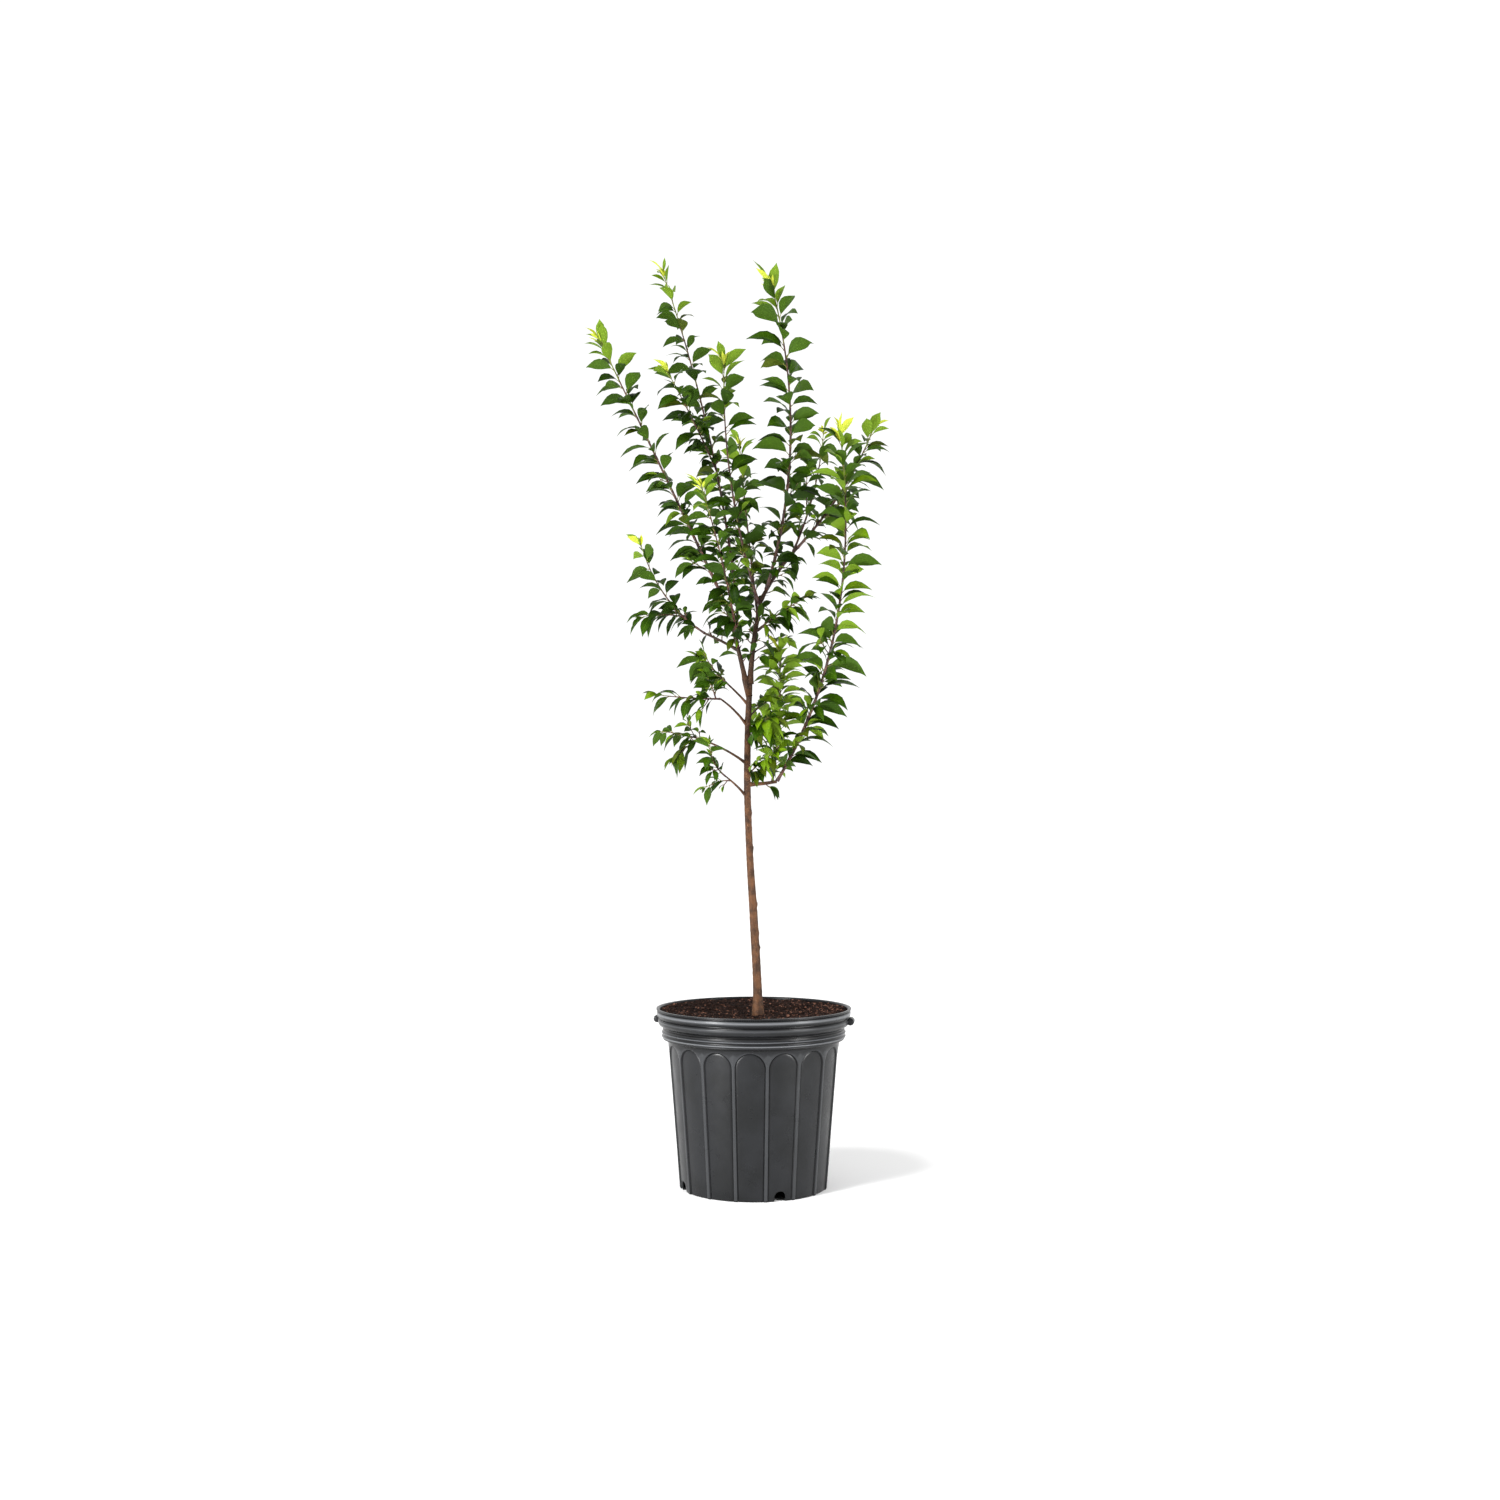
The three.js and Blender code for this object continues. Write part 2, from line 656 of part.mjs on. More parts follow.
// Leaves up one stem in a spiral: small at its foot, full grown along it, small and upright at its tip
function leavesOn(limb, count, fullSize, firstLeaf, random) {
  const phase = 360 * random();
  return Array.from({ length: count }, (_, i) => {
    const share = firstLeaf + ((1 - firstLeaf) * (i + 0.6)) / count;
    const young = THREE.MathUtils.clamp((share - GROWTH.youngFrom) / (1 - GROWTH.youngFrom), 0, 1);
    const grown = THREE.MathUtils.lerp(GROWTH.smallestAtBase, 1, Math.min(1, share / GROWTH.fullSizeFrom));
    const azimuth = (phase + GROWTH.turn * i + GROWTH.turnScatter * (random() - 0.5)) * DEGREE;
    const scatter = 1 + GROWTH.sizeScatter * (random() - 0.5);
    const size = fullSize * grown * THREE.MathUtils.lerp(1, GROWTH.tipSize, young) * scatter;
    return growLeaf(limb, share, azimuth, size, young, random);
  });
}

// Short leafy twigs on the lower half of a stem
function twigsOn(limb, count, random) {
  const phase = 360 * random();
  return Array.from({ length: count }, (_, i) => {
    const share = THREE.MathUtils.lerp(...TWIG.span, (i + random()) / count);
    const { tangent, across, along } = frameAt(limb.curve, share);
    const azimuth = (phase + GROWTH.turn * i) * DEGREE;
    const outward = across.multiplyScalar(Math.cos(azimuth)).addScaledVector(along, Math.sin(azimuth));
    const rise = (TWIG.rise + GROWTH.riseScatter * (random() - 0.5)) * DEGREE;
    const heading = tangent.multiplyScalar(Math.cos(rise)).addScaledVector(outward, Math.sin(rise));
    const length = TWIG.length * (0.75 + 0.5 * random());
    const root = limb.curve.getPoint(share);
    const control = root.clone().addScaledVector(heading, length / 2);
    const tip = root.clone().addScaledVector(heading, 0.92 * length).addScaledVector(UP, 0.2 * length);
    const curve = new THREE.QuadraticBezierCurve3(root, control, tip);
    const radius = Math.min(TWIG.radius, limb.radiusAt(share));
    return leafyLimb(curve, (place) => radius * (1 - 0.4 * place));
  });
}

function growMass(mass, stems, space, random) {
  const tubes = stems.map(({ limb }) => limb.tube);
  const leaves = [];
  const keepLeaves = (grown) => {
    for (const leaf of grown) {
      const balls = leafBalls(leaf);
      if (!space.isFree(mass.name, balls)) continue;
      space.keep(mass.name, balls);
      leaves.push(leaf);
    }
  };
  for (const { stem, limb } of stems) {
    keepLeaves(leavesOn(limb, stem.leaves, stem.leaf, GROWTH.firstLeaf, random));
    for (const twig of twigsOn(limb, stem.twigs ?? 0, random)) {
      const grown = leavesOn(twig, TWIG.leaves, TWIG.leafSize * stem.leaf, TWIG.firstLeaf, random);
      if (!space.isFree(mass.name, limbBalls(twig))) continue;
      space.keep(mass.name, limbBalls(twig));
      tubes.push(twig.tube);
      keepLeaves(grown);
    }
  }
  return { tubes, leaves };
}

// Leaf roots are sunk deeper until none grazes an edge of the stem, which would leave slivers or a slit
function massSolid({ tubes, leaves }) {
  for (let sunk = LEAF.sunk; sunk < LEAF.deepest; sunk += LEAF.sunkStep) {
    const blades = leaves.map((leaf) => leafSolid(leaf, sunk));
    const solid = mainBody(wasm.Manifold.union([...tubes, ...blades]));
    const geometry = geometryOf(solid);
    if (isClosed(geometry) && leastHeight(geometry) > GRID / 4) return solid;
  }
  throw new Error("a leaf root grazes its stem at every depth");
}

// The plant in its pot

const FINISHES = {
  pot: { color: 0x2e3032, roughness: 0.5 },
  soil: { color: 0x2c1a14, roughness: 0.95 },
  bark: { color: 0x3b241a, roughness: 0.8 },
  foliage: { color: 0x2f5c16, roughness: 0.45 },
};

function pieceOf(name, solid, finish) {
  const material = new THREE.MeshStandardMaterial({ ...FINISHES[finish], metalness: 0 });
  const mesh = new THREE.Mesh(geometryOf(solid), material);
  mesh.name = name;
  return mesh;
}

function pottedTree() {
  const plant = new THREE.Group();
  plant.add(pieceOf("pot", potSolid(), "pot"));
  plant.add(pieceOf("soil", soilSolid(), "soil"));

  const limbs = { trunk: trunkLimb() };
  const space = new OwnSpace();
  for (const bough of BOUGHS) limbs[bough.name] = boughLimb(bough, limbs);
  for (const [name, limb] of Object.entries(limbs)) {
    space.keep(name, limbBalls(limb));
    plant.add(pieceOf(name, limb.tube, "bark"));
  }

  const wood = woodOf(limbs);
  const crowns = MASSES.map((mass) => {
    const main = seated(stemLimb(mass, limbs[mass.on]), wood);
    const forks = (mass.sides ?? []).map((side) => ({ stem: side, limb: forkLimb(side, main) }));
    const stems = [{ stem: mass, limb: main }, ...forks];
    for (const { limb } of stems) space.keep(mass.name, limbBalls(limb));
    return { mass, stems };
  });
  crowns.forEach(({ mass, stems }, i) => {
    const grown = growMass(mass, stems, space, seededNumbers(GROWTH.seed + i));
    plant.add(pieceOf(mass.name, massSolid(grown), "foliage"));
  });
  return plant;
}

export default pottedTree();
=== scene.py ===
"""Looks of a young plum tree in a round ribbed nursery pot.

Lengths in the code are millimetres, and the vertices of a mesh are metres. +Z is up and the front
faces -Y. Angles in the tables are degrees, and shares run from 0 to 1 along a limb or a leaf.
"""

import math
from collections import namedtuple

import bmesh
import bpy
import numpy as np
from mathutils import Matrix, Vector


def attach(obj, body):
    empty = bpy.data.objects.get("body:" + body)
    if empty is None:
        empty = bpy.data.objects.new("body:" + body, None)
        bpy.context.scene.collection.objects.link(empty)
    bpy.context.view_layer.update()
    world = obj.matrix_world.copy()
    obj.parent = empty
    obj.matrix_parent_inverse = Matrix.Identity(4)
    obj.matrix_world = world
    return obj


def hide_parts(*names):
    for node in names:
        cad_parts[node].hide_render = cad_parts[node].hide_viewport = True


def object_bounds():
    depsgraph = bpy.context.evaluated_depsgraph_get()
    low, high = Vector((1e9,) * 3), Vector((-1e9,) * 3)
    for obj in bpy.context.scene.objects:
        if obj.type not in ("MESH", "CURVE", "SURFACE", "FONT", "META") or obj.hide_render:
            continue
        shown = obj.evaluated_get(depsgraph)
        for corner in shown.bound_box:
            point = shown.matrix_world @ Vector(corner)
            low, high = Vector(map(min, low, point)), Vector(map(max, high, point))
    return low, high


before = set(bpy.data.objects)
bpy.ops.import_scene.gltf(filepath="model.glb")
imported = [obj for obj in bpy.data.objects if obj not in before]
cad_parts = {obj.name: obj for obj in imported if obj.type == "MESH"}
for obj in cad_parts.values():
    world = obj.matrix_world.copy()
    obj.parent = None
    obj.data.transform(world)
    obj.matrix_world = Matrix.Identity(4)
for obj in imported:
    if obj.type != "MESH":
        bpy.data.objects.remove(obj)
cad_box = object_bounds()

MM = 0.001
TAU = 2 * math.pi
UP = np.array([0.0, 0.0, 1.0])
BACK = np.array([0.0, 1.0, 0.0])
LEFT = np.array([-1.0, 0.0, 0.0])
NO_TRIANGLES = np.zeros((0, 3), int)
TINY = 1e-6
# In metres: corners nearer than this are one
WELD_DISTANCE = 2e-6
GAP = 0.3

# Pot
FOOT_RADIUS = 130.4
SHOULDER_RADIUS = 151.0
SHOULDER_HEIGHT = 253.0
PANEL_COUNT = 16
PANEL_TURN = -2.3
PANEL_DEPTH = 2.2
PANEL_TOP = 251.5
PANEL_HEIGHTS = np.array([0, 0.9, 2.4, 18, 50, 85, 120, 155, 190, 210])
ARCH_SIDE_POINTS = 8
ARCH_TOP_POINTS = 15
# Levels of a panel from the rib's middle line in to its centre: how far the stepped ones stand outside
# its edge, and the share of its depth at every one
PANEL_STEPS = (0.9, 0.45, 0.0, -0.45, -0.95, -2.0, -5.0)
PANEL_SUNK = (0, 0, 0.1, 0.55, 1.1, 1.25, 1.0, 1.0, 1.0, 1.0)
RIB_WIDTH = 6.5
FOOT_ROUNDING = 0.9
FOOT_ROUNDING_HEIGHT = 2.4
COLLAR_RADIUS = 160.2
COLLAR_HEIGHTS = np.arange(261.0, 273.8, 0.4)
BEAD_HEIGHTS = (263.8, 270.8)
BEAD_REACH = 2.0
BEAD_HALF_WIDTH = 2.8
# Outlines as radius and height: the step under the collar, the sloping step and the lip over it, and
# the inside from the brim down to the middle of the floor
SHOULDER_OUTLINE = (
    (SHOULDER_RADIUS, SHOULDER_HEIGHT), (151.5, 255.4), (152.0, 257.6), (COLLAR_RADIUS, 259.4),
    (COLLAR_RADIUS, 260.8),
)
LIP_OUTLINE = (
    (COLLAR_RADIUS, 274.2), (COLLAR_RADIUS, 276.2), (159.2, 277.4), (159.6, 279.2), (166.4, 283.2),
    (168.5, 286.8), (168.9, 291.8), (167.6, 294.4), (166.2, 295.4), (166.2, 297.4), (170.2, 298.4),
    (171, 302.4), (170.8, 306.6), (169.2, 308.2), (169.2, 309.4), (172, 309.8), (172, 312),
)
INSIDE_OUTLINE = (
    (167.4, 312), (165.6, 310), (165.6, 285.5), (157.2, 276.5), (157.2, 261.5), (150, 256), (148, 253),
    (126.4, 3), (60, 3), (0, 3),
)
# Crests and grooves above the shoulder: height, reach, and painted light, which is a painted highlight
# above 0 and painted shade below 0
PAINTED_LIGHT_BANDS = (
    (311.6, 1.2, -0.4), (308.6, 0.9, -0.9), (303.8, 2.5, 0.65), (295.9, 1.5, -1.2), (290.4, 2.4, 0.3),
    (277.6, 2.2, -1.3), (271.0, 1.2, 0.5), (267.3, 0.9, -1.0), (264.0, 1.2, 0.7), (257.0, 2.0, -1.4),
)
# Painted highlight on the ribs, as a share of a crest's
RIB_PAINTED_HIGHLIGHT = 0.24
OUTSIDE_DEPTH = 2.9
NOTCH_ANGLES = (22.5, 112.5, -157.5, -67.5)
NOTCH_HALF_WIDTH = 10.0
NOTCH_HEIGHT = 17.0
# How far a notch's cutter starts outside the foot and ends inside it, and how far it reaches below
NOTCH_DEPTHS = (8, -16)
NOTCH_BELOW = 3
# Rings of the underside, as shares of the foot's
UNDERSIDE_SHARES = np.array([1, 0.97, 0.5, 0])
LUG_RADIUS = 6.5
LUG_HALF_LENGTH = 13.0
LUG_HEIGHT = 290.5
LUG_OFFSET = 171.5
LUG_TURN = -7.5
LUG_SIDES = 20
LUG_BEVEL = 2.5
PLASTIC_CREASE = 48
# Colours as they look on a screen
PLASTIC_PATCH = (25, 26, 28)
PLASTIC_GROUND = (18, 19, 20)
# Painted highlight for the crests and painted shade for the grooves
PLASTIC_PAINTED_HIGHLIGHT = (104, 106, 109)
PLASTIC_PAINTED_SHADE = (6, 6, 7)

# Potting mix
SOIL_LEVEL = 303.0
SOIL_EDGE_LEVEL = 308.0
SOIL_FLAT_RADIUS = 60.0
SOIL_RADIUS = 165.0
SOIL_RELIEF = 0.7
SOIL_SEED = 41
SOIL_WAVES = 8
SOIL_WAVE_LENGTHS = (90, 14)
SOIL_SIDES = 128
# Radius and height from the middle of its underside up the inside of the wall
SOIL_FLOOR = 3.3
SOIL_OUTLINE = (
    (84, SOIL_FLOOR), (88, 3.6), (100, 24), (127.6, 44), (146.6, 251), (149.4, 257), (156.4, 264.5),
    (156.5, 279), (164.8, 288.5),
)
SOIL_TOP_RADII = np.concatenate([np.linspace(164.8, 6, 44), [2.5]])
# Each kind's number, and how far it gathers on the right
CHIP_COUNTS = {"chips_dark": (3000, 0.0), "chips_brown": (2200, 0.2), "chips_russet": (640, 0.5)}
CHIP_REACH = 160.0
CHIP_NEAREST = 0.006
# Shape and scale of the gamma draw that is added to the shortest length
CHIP_LENGTH_DRAW = (4.0, 0.6)
CHIP_SHORTEST = 1.4
CHIP_LONGEST = 7.5
CHIP_THICKEST = 2.2
# Shares of its length: the least and most of its width and thickness, and where its two rings stand
CHIP_WIDTHS = (0.4, 0.8)
CHIP_THICKNESSES = (0.22, 0.5)
CHIP_RINGS = np.array([-0.34, 0.34])
CHIP_UNEVENNESS = (0.7, 1.15)
CHIP_TILT = 0.3
CHIP_ROLL = 0.4
# The least and most of its thickness that its middle lies over the mix
CHIP_LIFTS = (0.1, 0.6)
CHIP_CREASE = 35
CHIP_SEED = 61

# Trunk
TRUNK_POINTS = ((7.6, -38, 303), (4, -12, 500), (-22, 6, 640), (-6.6, 0, 885))
TRUNK_RADII = (7.8, 5.2)
TRUNK_FLARE = 4.2
TRUNK_FLARE_HEIGHT = 22.0
# Bud scars: height, and degrees round from the right-hand side towards the back
TRUNK_SCARS = ((419, 4), (444, -22), (495, 2), (593, -8), (656, 0), (818, 172), (540, -110), (360, 120))

# Limbs are laid out on a front elevation, seen from this far in front of the trunk and this high
EYE_DISTANCE = 2950.0
EYE_HEIGHT = 660.0

Bough = namedtuple("Bough", "on at tip bow radii")
BOUGHS = {
    "bough_right": Bough("trunk", 1, (13, 4, 1034), (-3, 0, 0), (4.8, 3.9)),
    "bough_left": Bough("trunk", 862, (-30, -8, 957), (0, 0, 0), (4.2, 3.7)),
    "bough_far_right": Bough("bough_right", 1, (78, 30, 1128), (-3, 0, 3), (3.4, 2.9)),
    "bough_upper_left": Bough("bough_left", 1, (-57, -24, 1042), (2, 0, 0), (3.5, 3.0)),
    "bough_centre": Bough("bough_upper_left", 0.16, (-34, 18, 1062), (4, 4, 0), (2.8, 2.4)),
    "bough_low_left": Bough("bough_left", 0.86, (-87, 16, 975), (0, 0, 1), (2.4, 2.0)),
    "bough_side_right": Bough("trunk", 706, (41, -4, 711), (0, 0, -1), (3.2, 2.8)),
    "branch_left_top": Bough("trunk", 846, (-48, 28, 886), (0, 0, 1), (1.9, 1.6)),
    "branch_left_high": Bough("trunk", 808, (-59, -18, 858), (0, 0, 4), (2.1, 1.7)),
    "branch_left_mid": Bough("trunk", 742, (-83, 26, 782), (0, 0, 3), (2.1, 1.7)),
    "branch_left_low": Bough("trunk", 682, (-51, -16, 721), (0, 0, 2), (1.9, 1.5)),
}

# A mass is one leafy stem on a limb, and the side stems that fork from it. A stem leaves its carrier at
# a share of it, or at a height on the trunk, and leaf is the length of its full-grown leaves. narrow is
# a leaf's width over its length, bright is how much more of them are light green, partly their own
# fresher colour and partly painted light for a mass that is lit from above, and dense is how many more
# leaves the finer growth adds, as a share of those on the stem.
Mass = namedtuple("Mass", "on stems narrow bright dense")
Stem = namedtuple("Stem", "at tip bow radius leaves leaf twigs")
MASSES = {
    "foliage_upper_left": Mass("bough_upper_left", [
        Stem(1, (-279, -95, 1508), (2, 0, -2), 2.7, 27, 54, 1)], 0.38, 0.12, 1.56),
    "foliage_top_left": Mass("bough_centre", [
        Stem(1, (-165, 70, 1630), (16, 0, 0), 2.4, 31, 47, 1),
        Stem(0.36, (-156, -90, 1448), (2, -6, 0), 1.7, 11, 52, 0)], 0.38, 0.15, 1.56),
    "foliage_centre": Mass("bough_right", [
        Stem(0.93, (-53, -36, 1468), (-19, -10, 0), 2.4, 25, 60, 2)], 0.38, 0.22, 1.17),
    "foliage_tall_right": Mass("bough_far_right", [
        Stem(0.14, (31, -150, 1606), (38, -14, 0), 2.8, 30, 64, 1)], 0.39, 0.15, 1.23),
    "foliage_far_right": Mass("bough_far_right", [
        Stem(1, (215, 70, 1344), (12, 0, -4), 2.5, 18, 57, 1)], 0.38, 0.35, 1.17),
    "foliage_mid_right": Mass("bough_far_right", [
        Stem(0.88, (125, 165, 1338), (10, 0, 0), 2.0, 16, 47, 0),
        Stem(0.28, (97, 50, 1278), (-2, -6, 0), 1.3, 8, 37, 0)], 0.37, 0.30, 1.04),
    "foliage_outer_right": Mass("bough_side_right", [
        Stem(1, (154, -120, 1340), (50, -16, -20), 2.8, 33, 63, 1)], 0.36, 0.80, 2.21),
    "foliage_inner_right": Mass("bough_side_right", [
        Stem(0.84, (45, 34, 946), (7, 8, 0), 1.9, 17, 48, 1)], 0.37, 1.60, 5.46),
    "foliage_low_left": Mass("bough_low_left", [
        Stem(1, (-202, 96, 1136), (-13, 0, -14), 1.9, 14, 46, 1),
        Stem(0.24, (-200, 6, 1004), (0, 0, 4), 1.2, 8, 41, 0)], 0.40, 0.10, 0.80),
    "foliage_left_top": Mass("branch_left_top", [
        Stem(1, (-96, 62, 930), (0, 0, 2), 1.5, 9, 44, 2)], 0.38, 0.75, 1.43),
    "foliage_left_high": Mass("branch_left_high", [
        Stem(1, (-176, -70, 866), (0, 0, -2), 1.6, 10, 37, 1),
        Stem(0.06, (-82, -48, 896), (0, 0, 3), 1.2, 6, 37, 0)], 0.38, 0.45, 0.60),
    "foliage_left_mid": Mass("branch_left_mid", [
        Stem(1, (-166, 84, 800), (0, 0, 3), 1.5, 9, 36, 1),
        Stem(0.12, (-140, 30, 752), (0, 0, 5), 1.2, 7, 39, 0)], 0.38, 0.45, 0.60),
    "foliage_left_low": Mass("branch_left_low", [
        Stem(1, (-78, -62, 778), (-6, 0, -4), 1.3, 9, 38, 1)], 0.38, 0.45, 0.60),
    "foliage_left_twig": Mass("branch_left_low", [
        Stem(0.72, (-86, 10, 700), (0, 0, 4), 1.1, 4, 31, 0)], 0.38, 0.45, 0.60),
    "foliage_right_top": Mass("trunk", [
        Stem(824, (34, 84, 858), (0, 4, 4), 1.5, 8, 44, 0)], 0.37, 1.20, 3.51),
    "foliage_right_high": Mass("trunk", [
        Stem(782, (27, -66, 826), (0, -2, 2), 1.5, 8, 44, 0)], 0.37, 1.00, 3.51),
    "foliage_right_low": Mass("trunk", [
        Stem(722, (36, -70, 762), (0, 0, 2), 1.2, 7, 41, 0)], 0.37, 1.00, 3.64),
    "foliage_right_spray": Mass("bough_right", [
        Stem(0.62, (94, -56, 1040), (0, 0, 3), 1.6, 11, 40, 1)], 0.37, 0.70, 1.69),
    "foliage_right_twig": Mass("bough_right", [
        Stem(0.36, (58, 60, 966), (0, 0, 3), 1.2, 7, 38, 0)], 0.37, 0.70, 1.69),
    "foliage_front": Mass("bough_left", [
        Stem(0.9, (-94, -215, 1240), (8, -26, -8), 2.1, 18, 50, 1)], 0.38, 0.15, 1.56),
    "foliage_back": Mass("bough_right", [
        Stem(0.8, (-26, 225, 1318), (0, 26, -8), 2.2, 18, 54, 1)], 0.38, 0.15, 1.43),
}

# Seeded even numbers
WHOLE = 2**32
SEED_SPREAD = 2654435761
MULTIPLIER = 1664525
ADDEND = 1013904223

# Growth rule, the same for every stem
SEED = 11
FINER_SEED = 111
BOUGH_SEED = 211
LOOK_SEED = 97
SPIRAL_TURN = 137.5
TURN_SCATTER = 34
FIRST_LEAF = 0.03
LEAF_RISE = 36
TIP_RISE = 20
RISE_SCATTER = 18
LEAF_BEND = 58
TIP_STIFFNESS = 0.6
BEND_SCATTER = 30
MOST_FALL = 0.8
ROLL_SCATTER = 120
SMALLEST_AT_BASE = 0.6
FULL_SIZE_FROM = 0.14
YOUNG_FROM = 0.86
TIP_SIZE = 0.72
SIZE_SCATTER = 0.32
STEM_TAPER = 0.68
STEM_STOUTNESS = 1.25
BALL_WIDTH = 0.52
BALL_PLACES = np.array([0.3, 0.55, 0.55, 0.55, 0.8, 1.0])
BALL_OFFSETS = np.array([0, 0, 0.4, -0.4, 0, 0])
BALL_RADIUS = 0.13
LIMB_BALL_STEP = 7.0
LIMB_BALL_MARGIN = 1.6
TWIG_LENGTH = 38
TWIG_RISE = 52
TWIG_LEAVES = 4
TWIG_LEAF_SIZE = 0.82
TWIG_RADIUS = 0.9
TWIG_TAPER = 0.6
TWIG_FIRST_LEAF = 0.3
TWIG_SPAN = (0.06, 0.5)

# Finer growth: short spurs with small leaves between the others, and a rosette at every tip. A kind of
# spur has its step up the limb, the least and most of its length and of its leaves' relative size, and
# its radius.
SECOND_SIZE = 1.08
Spur = namedtuple("Spur", "step lengths sizes radius")
STEM_SPUR = Spur(30.0, (6.6, 15.4), (0.496, 0.744), 0.8)
BOUGH_SPUR = Spur(7.0, (8.8, 18.7), (0.75, 1.25), 0.9)
SPUR_RISE = 58
SPUR_SCATTER = 60
SPUR_TAPER = 0.8
SPUR_LEAVES = 3
SPUR_FIRST_LEAF = 0.5
STEM_SPUR_SPAN = (0.03, 0.45)
# Spurs on the boughs themselves: the mass they count with, and where on the bough they stand
BOUGH_SPURS = {
    "bough_right": ("foliage_right_spray", 0.22, 0.98),
    "bough_left": ("foliage_front", 0.50, 0.98),
    "bough_upper_left": ("foliage_upper_left", 0.05, 0.98),
    "bough_centre": ("foliage_top_left", 0.25, 0.98),
    "bough_far_right": ("foliage_far_right", 0.10, 0.80),
    "bough_low_left": ("foliage_low_left", 0.45, 0.98),
    "bough_side_right": ("foliage_right_low", 0.45, 0.98),
}
BOUGH_LEAF = 38.0
BOUGH_DEEP_SHARE = 0.6
ROSETTE_LEAVES = 7
ROSETTE_SIZE = 0.44
ROSETTE_SPAN = (0.965, 0.998)
ROSETTE_SIZES = (1.15, 0.6)
TWIG_ROSETTE_LEAVES = 3
TWIG_ROSETTE_SIZE = 0.36
LONG_TWIG = 22.0
LONG_SHOOT = 140.0

# Kinds of leaf: how young the youngest and the young ones are, the share of them that is of the lighter
# kind, where olive starts, and the tones over which a grown leaf is fresh or green
YOUNGEST = 0.75
YOUNG = 0.2
LIGHTER_SHARE = 0.75
OLIVE_FROM = 0.95
BRIGHT_WEIGHT = 0.35
FRESH_TONE = 0.88
GREEN_TONE = 0.52

# Leaf blade: where the stalk ends, the stations along the blade, and the angle each half rises by
STALK_SHARE = 0.12
BLADE_STATIONS = np.array([0, 0.07, 0.18, 0.34, 0.52, 0.68, 0.80, 0.89, 0.95, 1.0])
BLADE_ACROSS = np.array([1.0, 0.5, 0.0, -0.5, -1.0])
BLADE_THICKNESS = 0.45
BLADE_FOLDS = (6, 18)
YOUNG_FOLD = 18
BLADE_CREASE = 62
BLADE_CUP = 0.30
BLADE_RIPPLE = 0.035
YOUNGEST_NARROWING = 0.66
TIP_HANG = 0.17
BOX_MARGIN = 0.3
# Stalk: shares of the leaf's length, and the radius at each for a leaf of the usual length
STALK_STATIONS = np.array([0.0, 0.03, 0.07, 0.12, 0.18])
STALK_GIRTHS = np.array([1.25, 0.8, 0.62, 0.6, 0.3])
USUAL_LEAF = 40.0
# Bud: how far above its leaf it starts, its length, and its radius at places along it
BUD_HEIGHT = 1.4
BUD_LENGTH = 3.5
BUD_PLACES = np.array([0.5, 1.4, 2.5])
BUD_GIRTHS = np.array([0.75, 0.9, 0.5])
BUD_AGE = 0.5

# Bark. A wave has how many go round the limb, how fast it climbs in radians a millimetre, and its height
# as a share of the radius, or in millimetres for the fine ones.
BROAD_WAVES = ((2, 0.021, 0.035), (3, -0.043, 0.025))
FINE_WAVES = ((7, 0.31, 0.09), (9, -0.47, 0.07))
RING_CLIMB = 0.55
RING_HEIGHT = 0.10
RING_SWAY = 0.9
FULL_RELIEF_RADIUS = 6.0
BARK_SEED = 23
BARK_PATCH = (86, 56, 34)
BARK_GROUND = (48, 31, 20)
BARK_HIGH = (40, 30, 23)
BARK_FLECK = (134, 104, 76)
# Heights in metres over which the bark turns darker
BARK_DARKENS = (0.82, 0.95)
BARK_STEP = 3.0
TRUNK_SIDES = 28
BOUGH_SIDES = 18
TRUNK_SUNK = 9.0
COLLAR_SWELL = 0.4
COLLAR_LENGTH = 9.0
ONWARD_LENGTH = 24.0
SCAR_HEIGHT = 1.5
SCAR_LENGTH = 4.5
SCAR_WIDTH = 0.5

# Shoots: the shares where the green tip starts and the brown stem ends, the rings and sides, and the
# swellings at each leaf and at the foot
GREEN_FROM = 0.83
BROWN_TO = 0.84
SHOOT_STEP = 3.2
SHOOT_SIDES = 8
TIP_SIDES = 7
TIP_FIT = 0.98
TWIG_SIDES = 6
TWIG_RINGS = 7
NODE_SWELL = 0.18
NODE_LENGTH = 1.8
FOOT_SWELL = 0.35
FOOT_LENGTH = 5.0

# Mottled finishes: the colours of the patches and the ground as they look on a screen, roughness,
# specular level, the scales of patches and grain, and the grain's strength and depth in metres
Mottle = namedtuple("Mottle", "patch ground roughness specular scales relief")
MOTTLES = {
    "potting_mix": Mottle((39, 24, 18), (17, 10, 8), 0.95, 0.06, (220, 1100), (0.8, 0.0014)),
    "chips_dark": Mottle((35, 22, 17), (16, 10, 8), 0.85, 0.12, (260, 1500), (0.5, 0.0006)),
    "chips_brown": Mottle((58, 37, 29), (34, 22, 17), 0.85, 0.12, (260, 1500), (0.5, 0.0006)),
    "chips_russet": Mottle((124, 88, 72), (84, 56, 46), 0.85, 0.12, (260, 1500), (0.5, 0.0006)),
    "shoot_bark": Mottle((84, 52, 42), (46, 28, 26), 0.5, 0.3, (110, 900), (0.3, 0.0004)),
    "green_shoot": Mottle((122, 138, 44), (92, 104, 34), 0.5, 0.3, (110, 900), (0.2, 0.0003)),
    "leaf_stalk": Mottle((120, 128, 56), (92, 84, 42), 0.5, 0.3, (140, 900), (0.2, 0.0003)),
    "bud_scale": Mottle((104, 66, 50), (60, 36, 30), 0.5, 0.3, (160, 900), (0.2, 0.0003)),
}

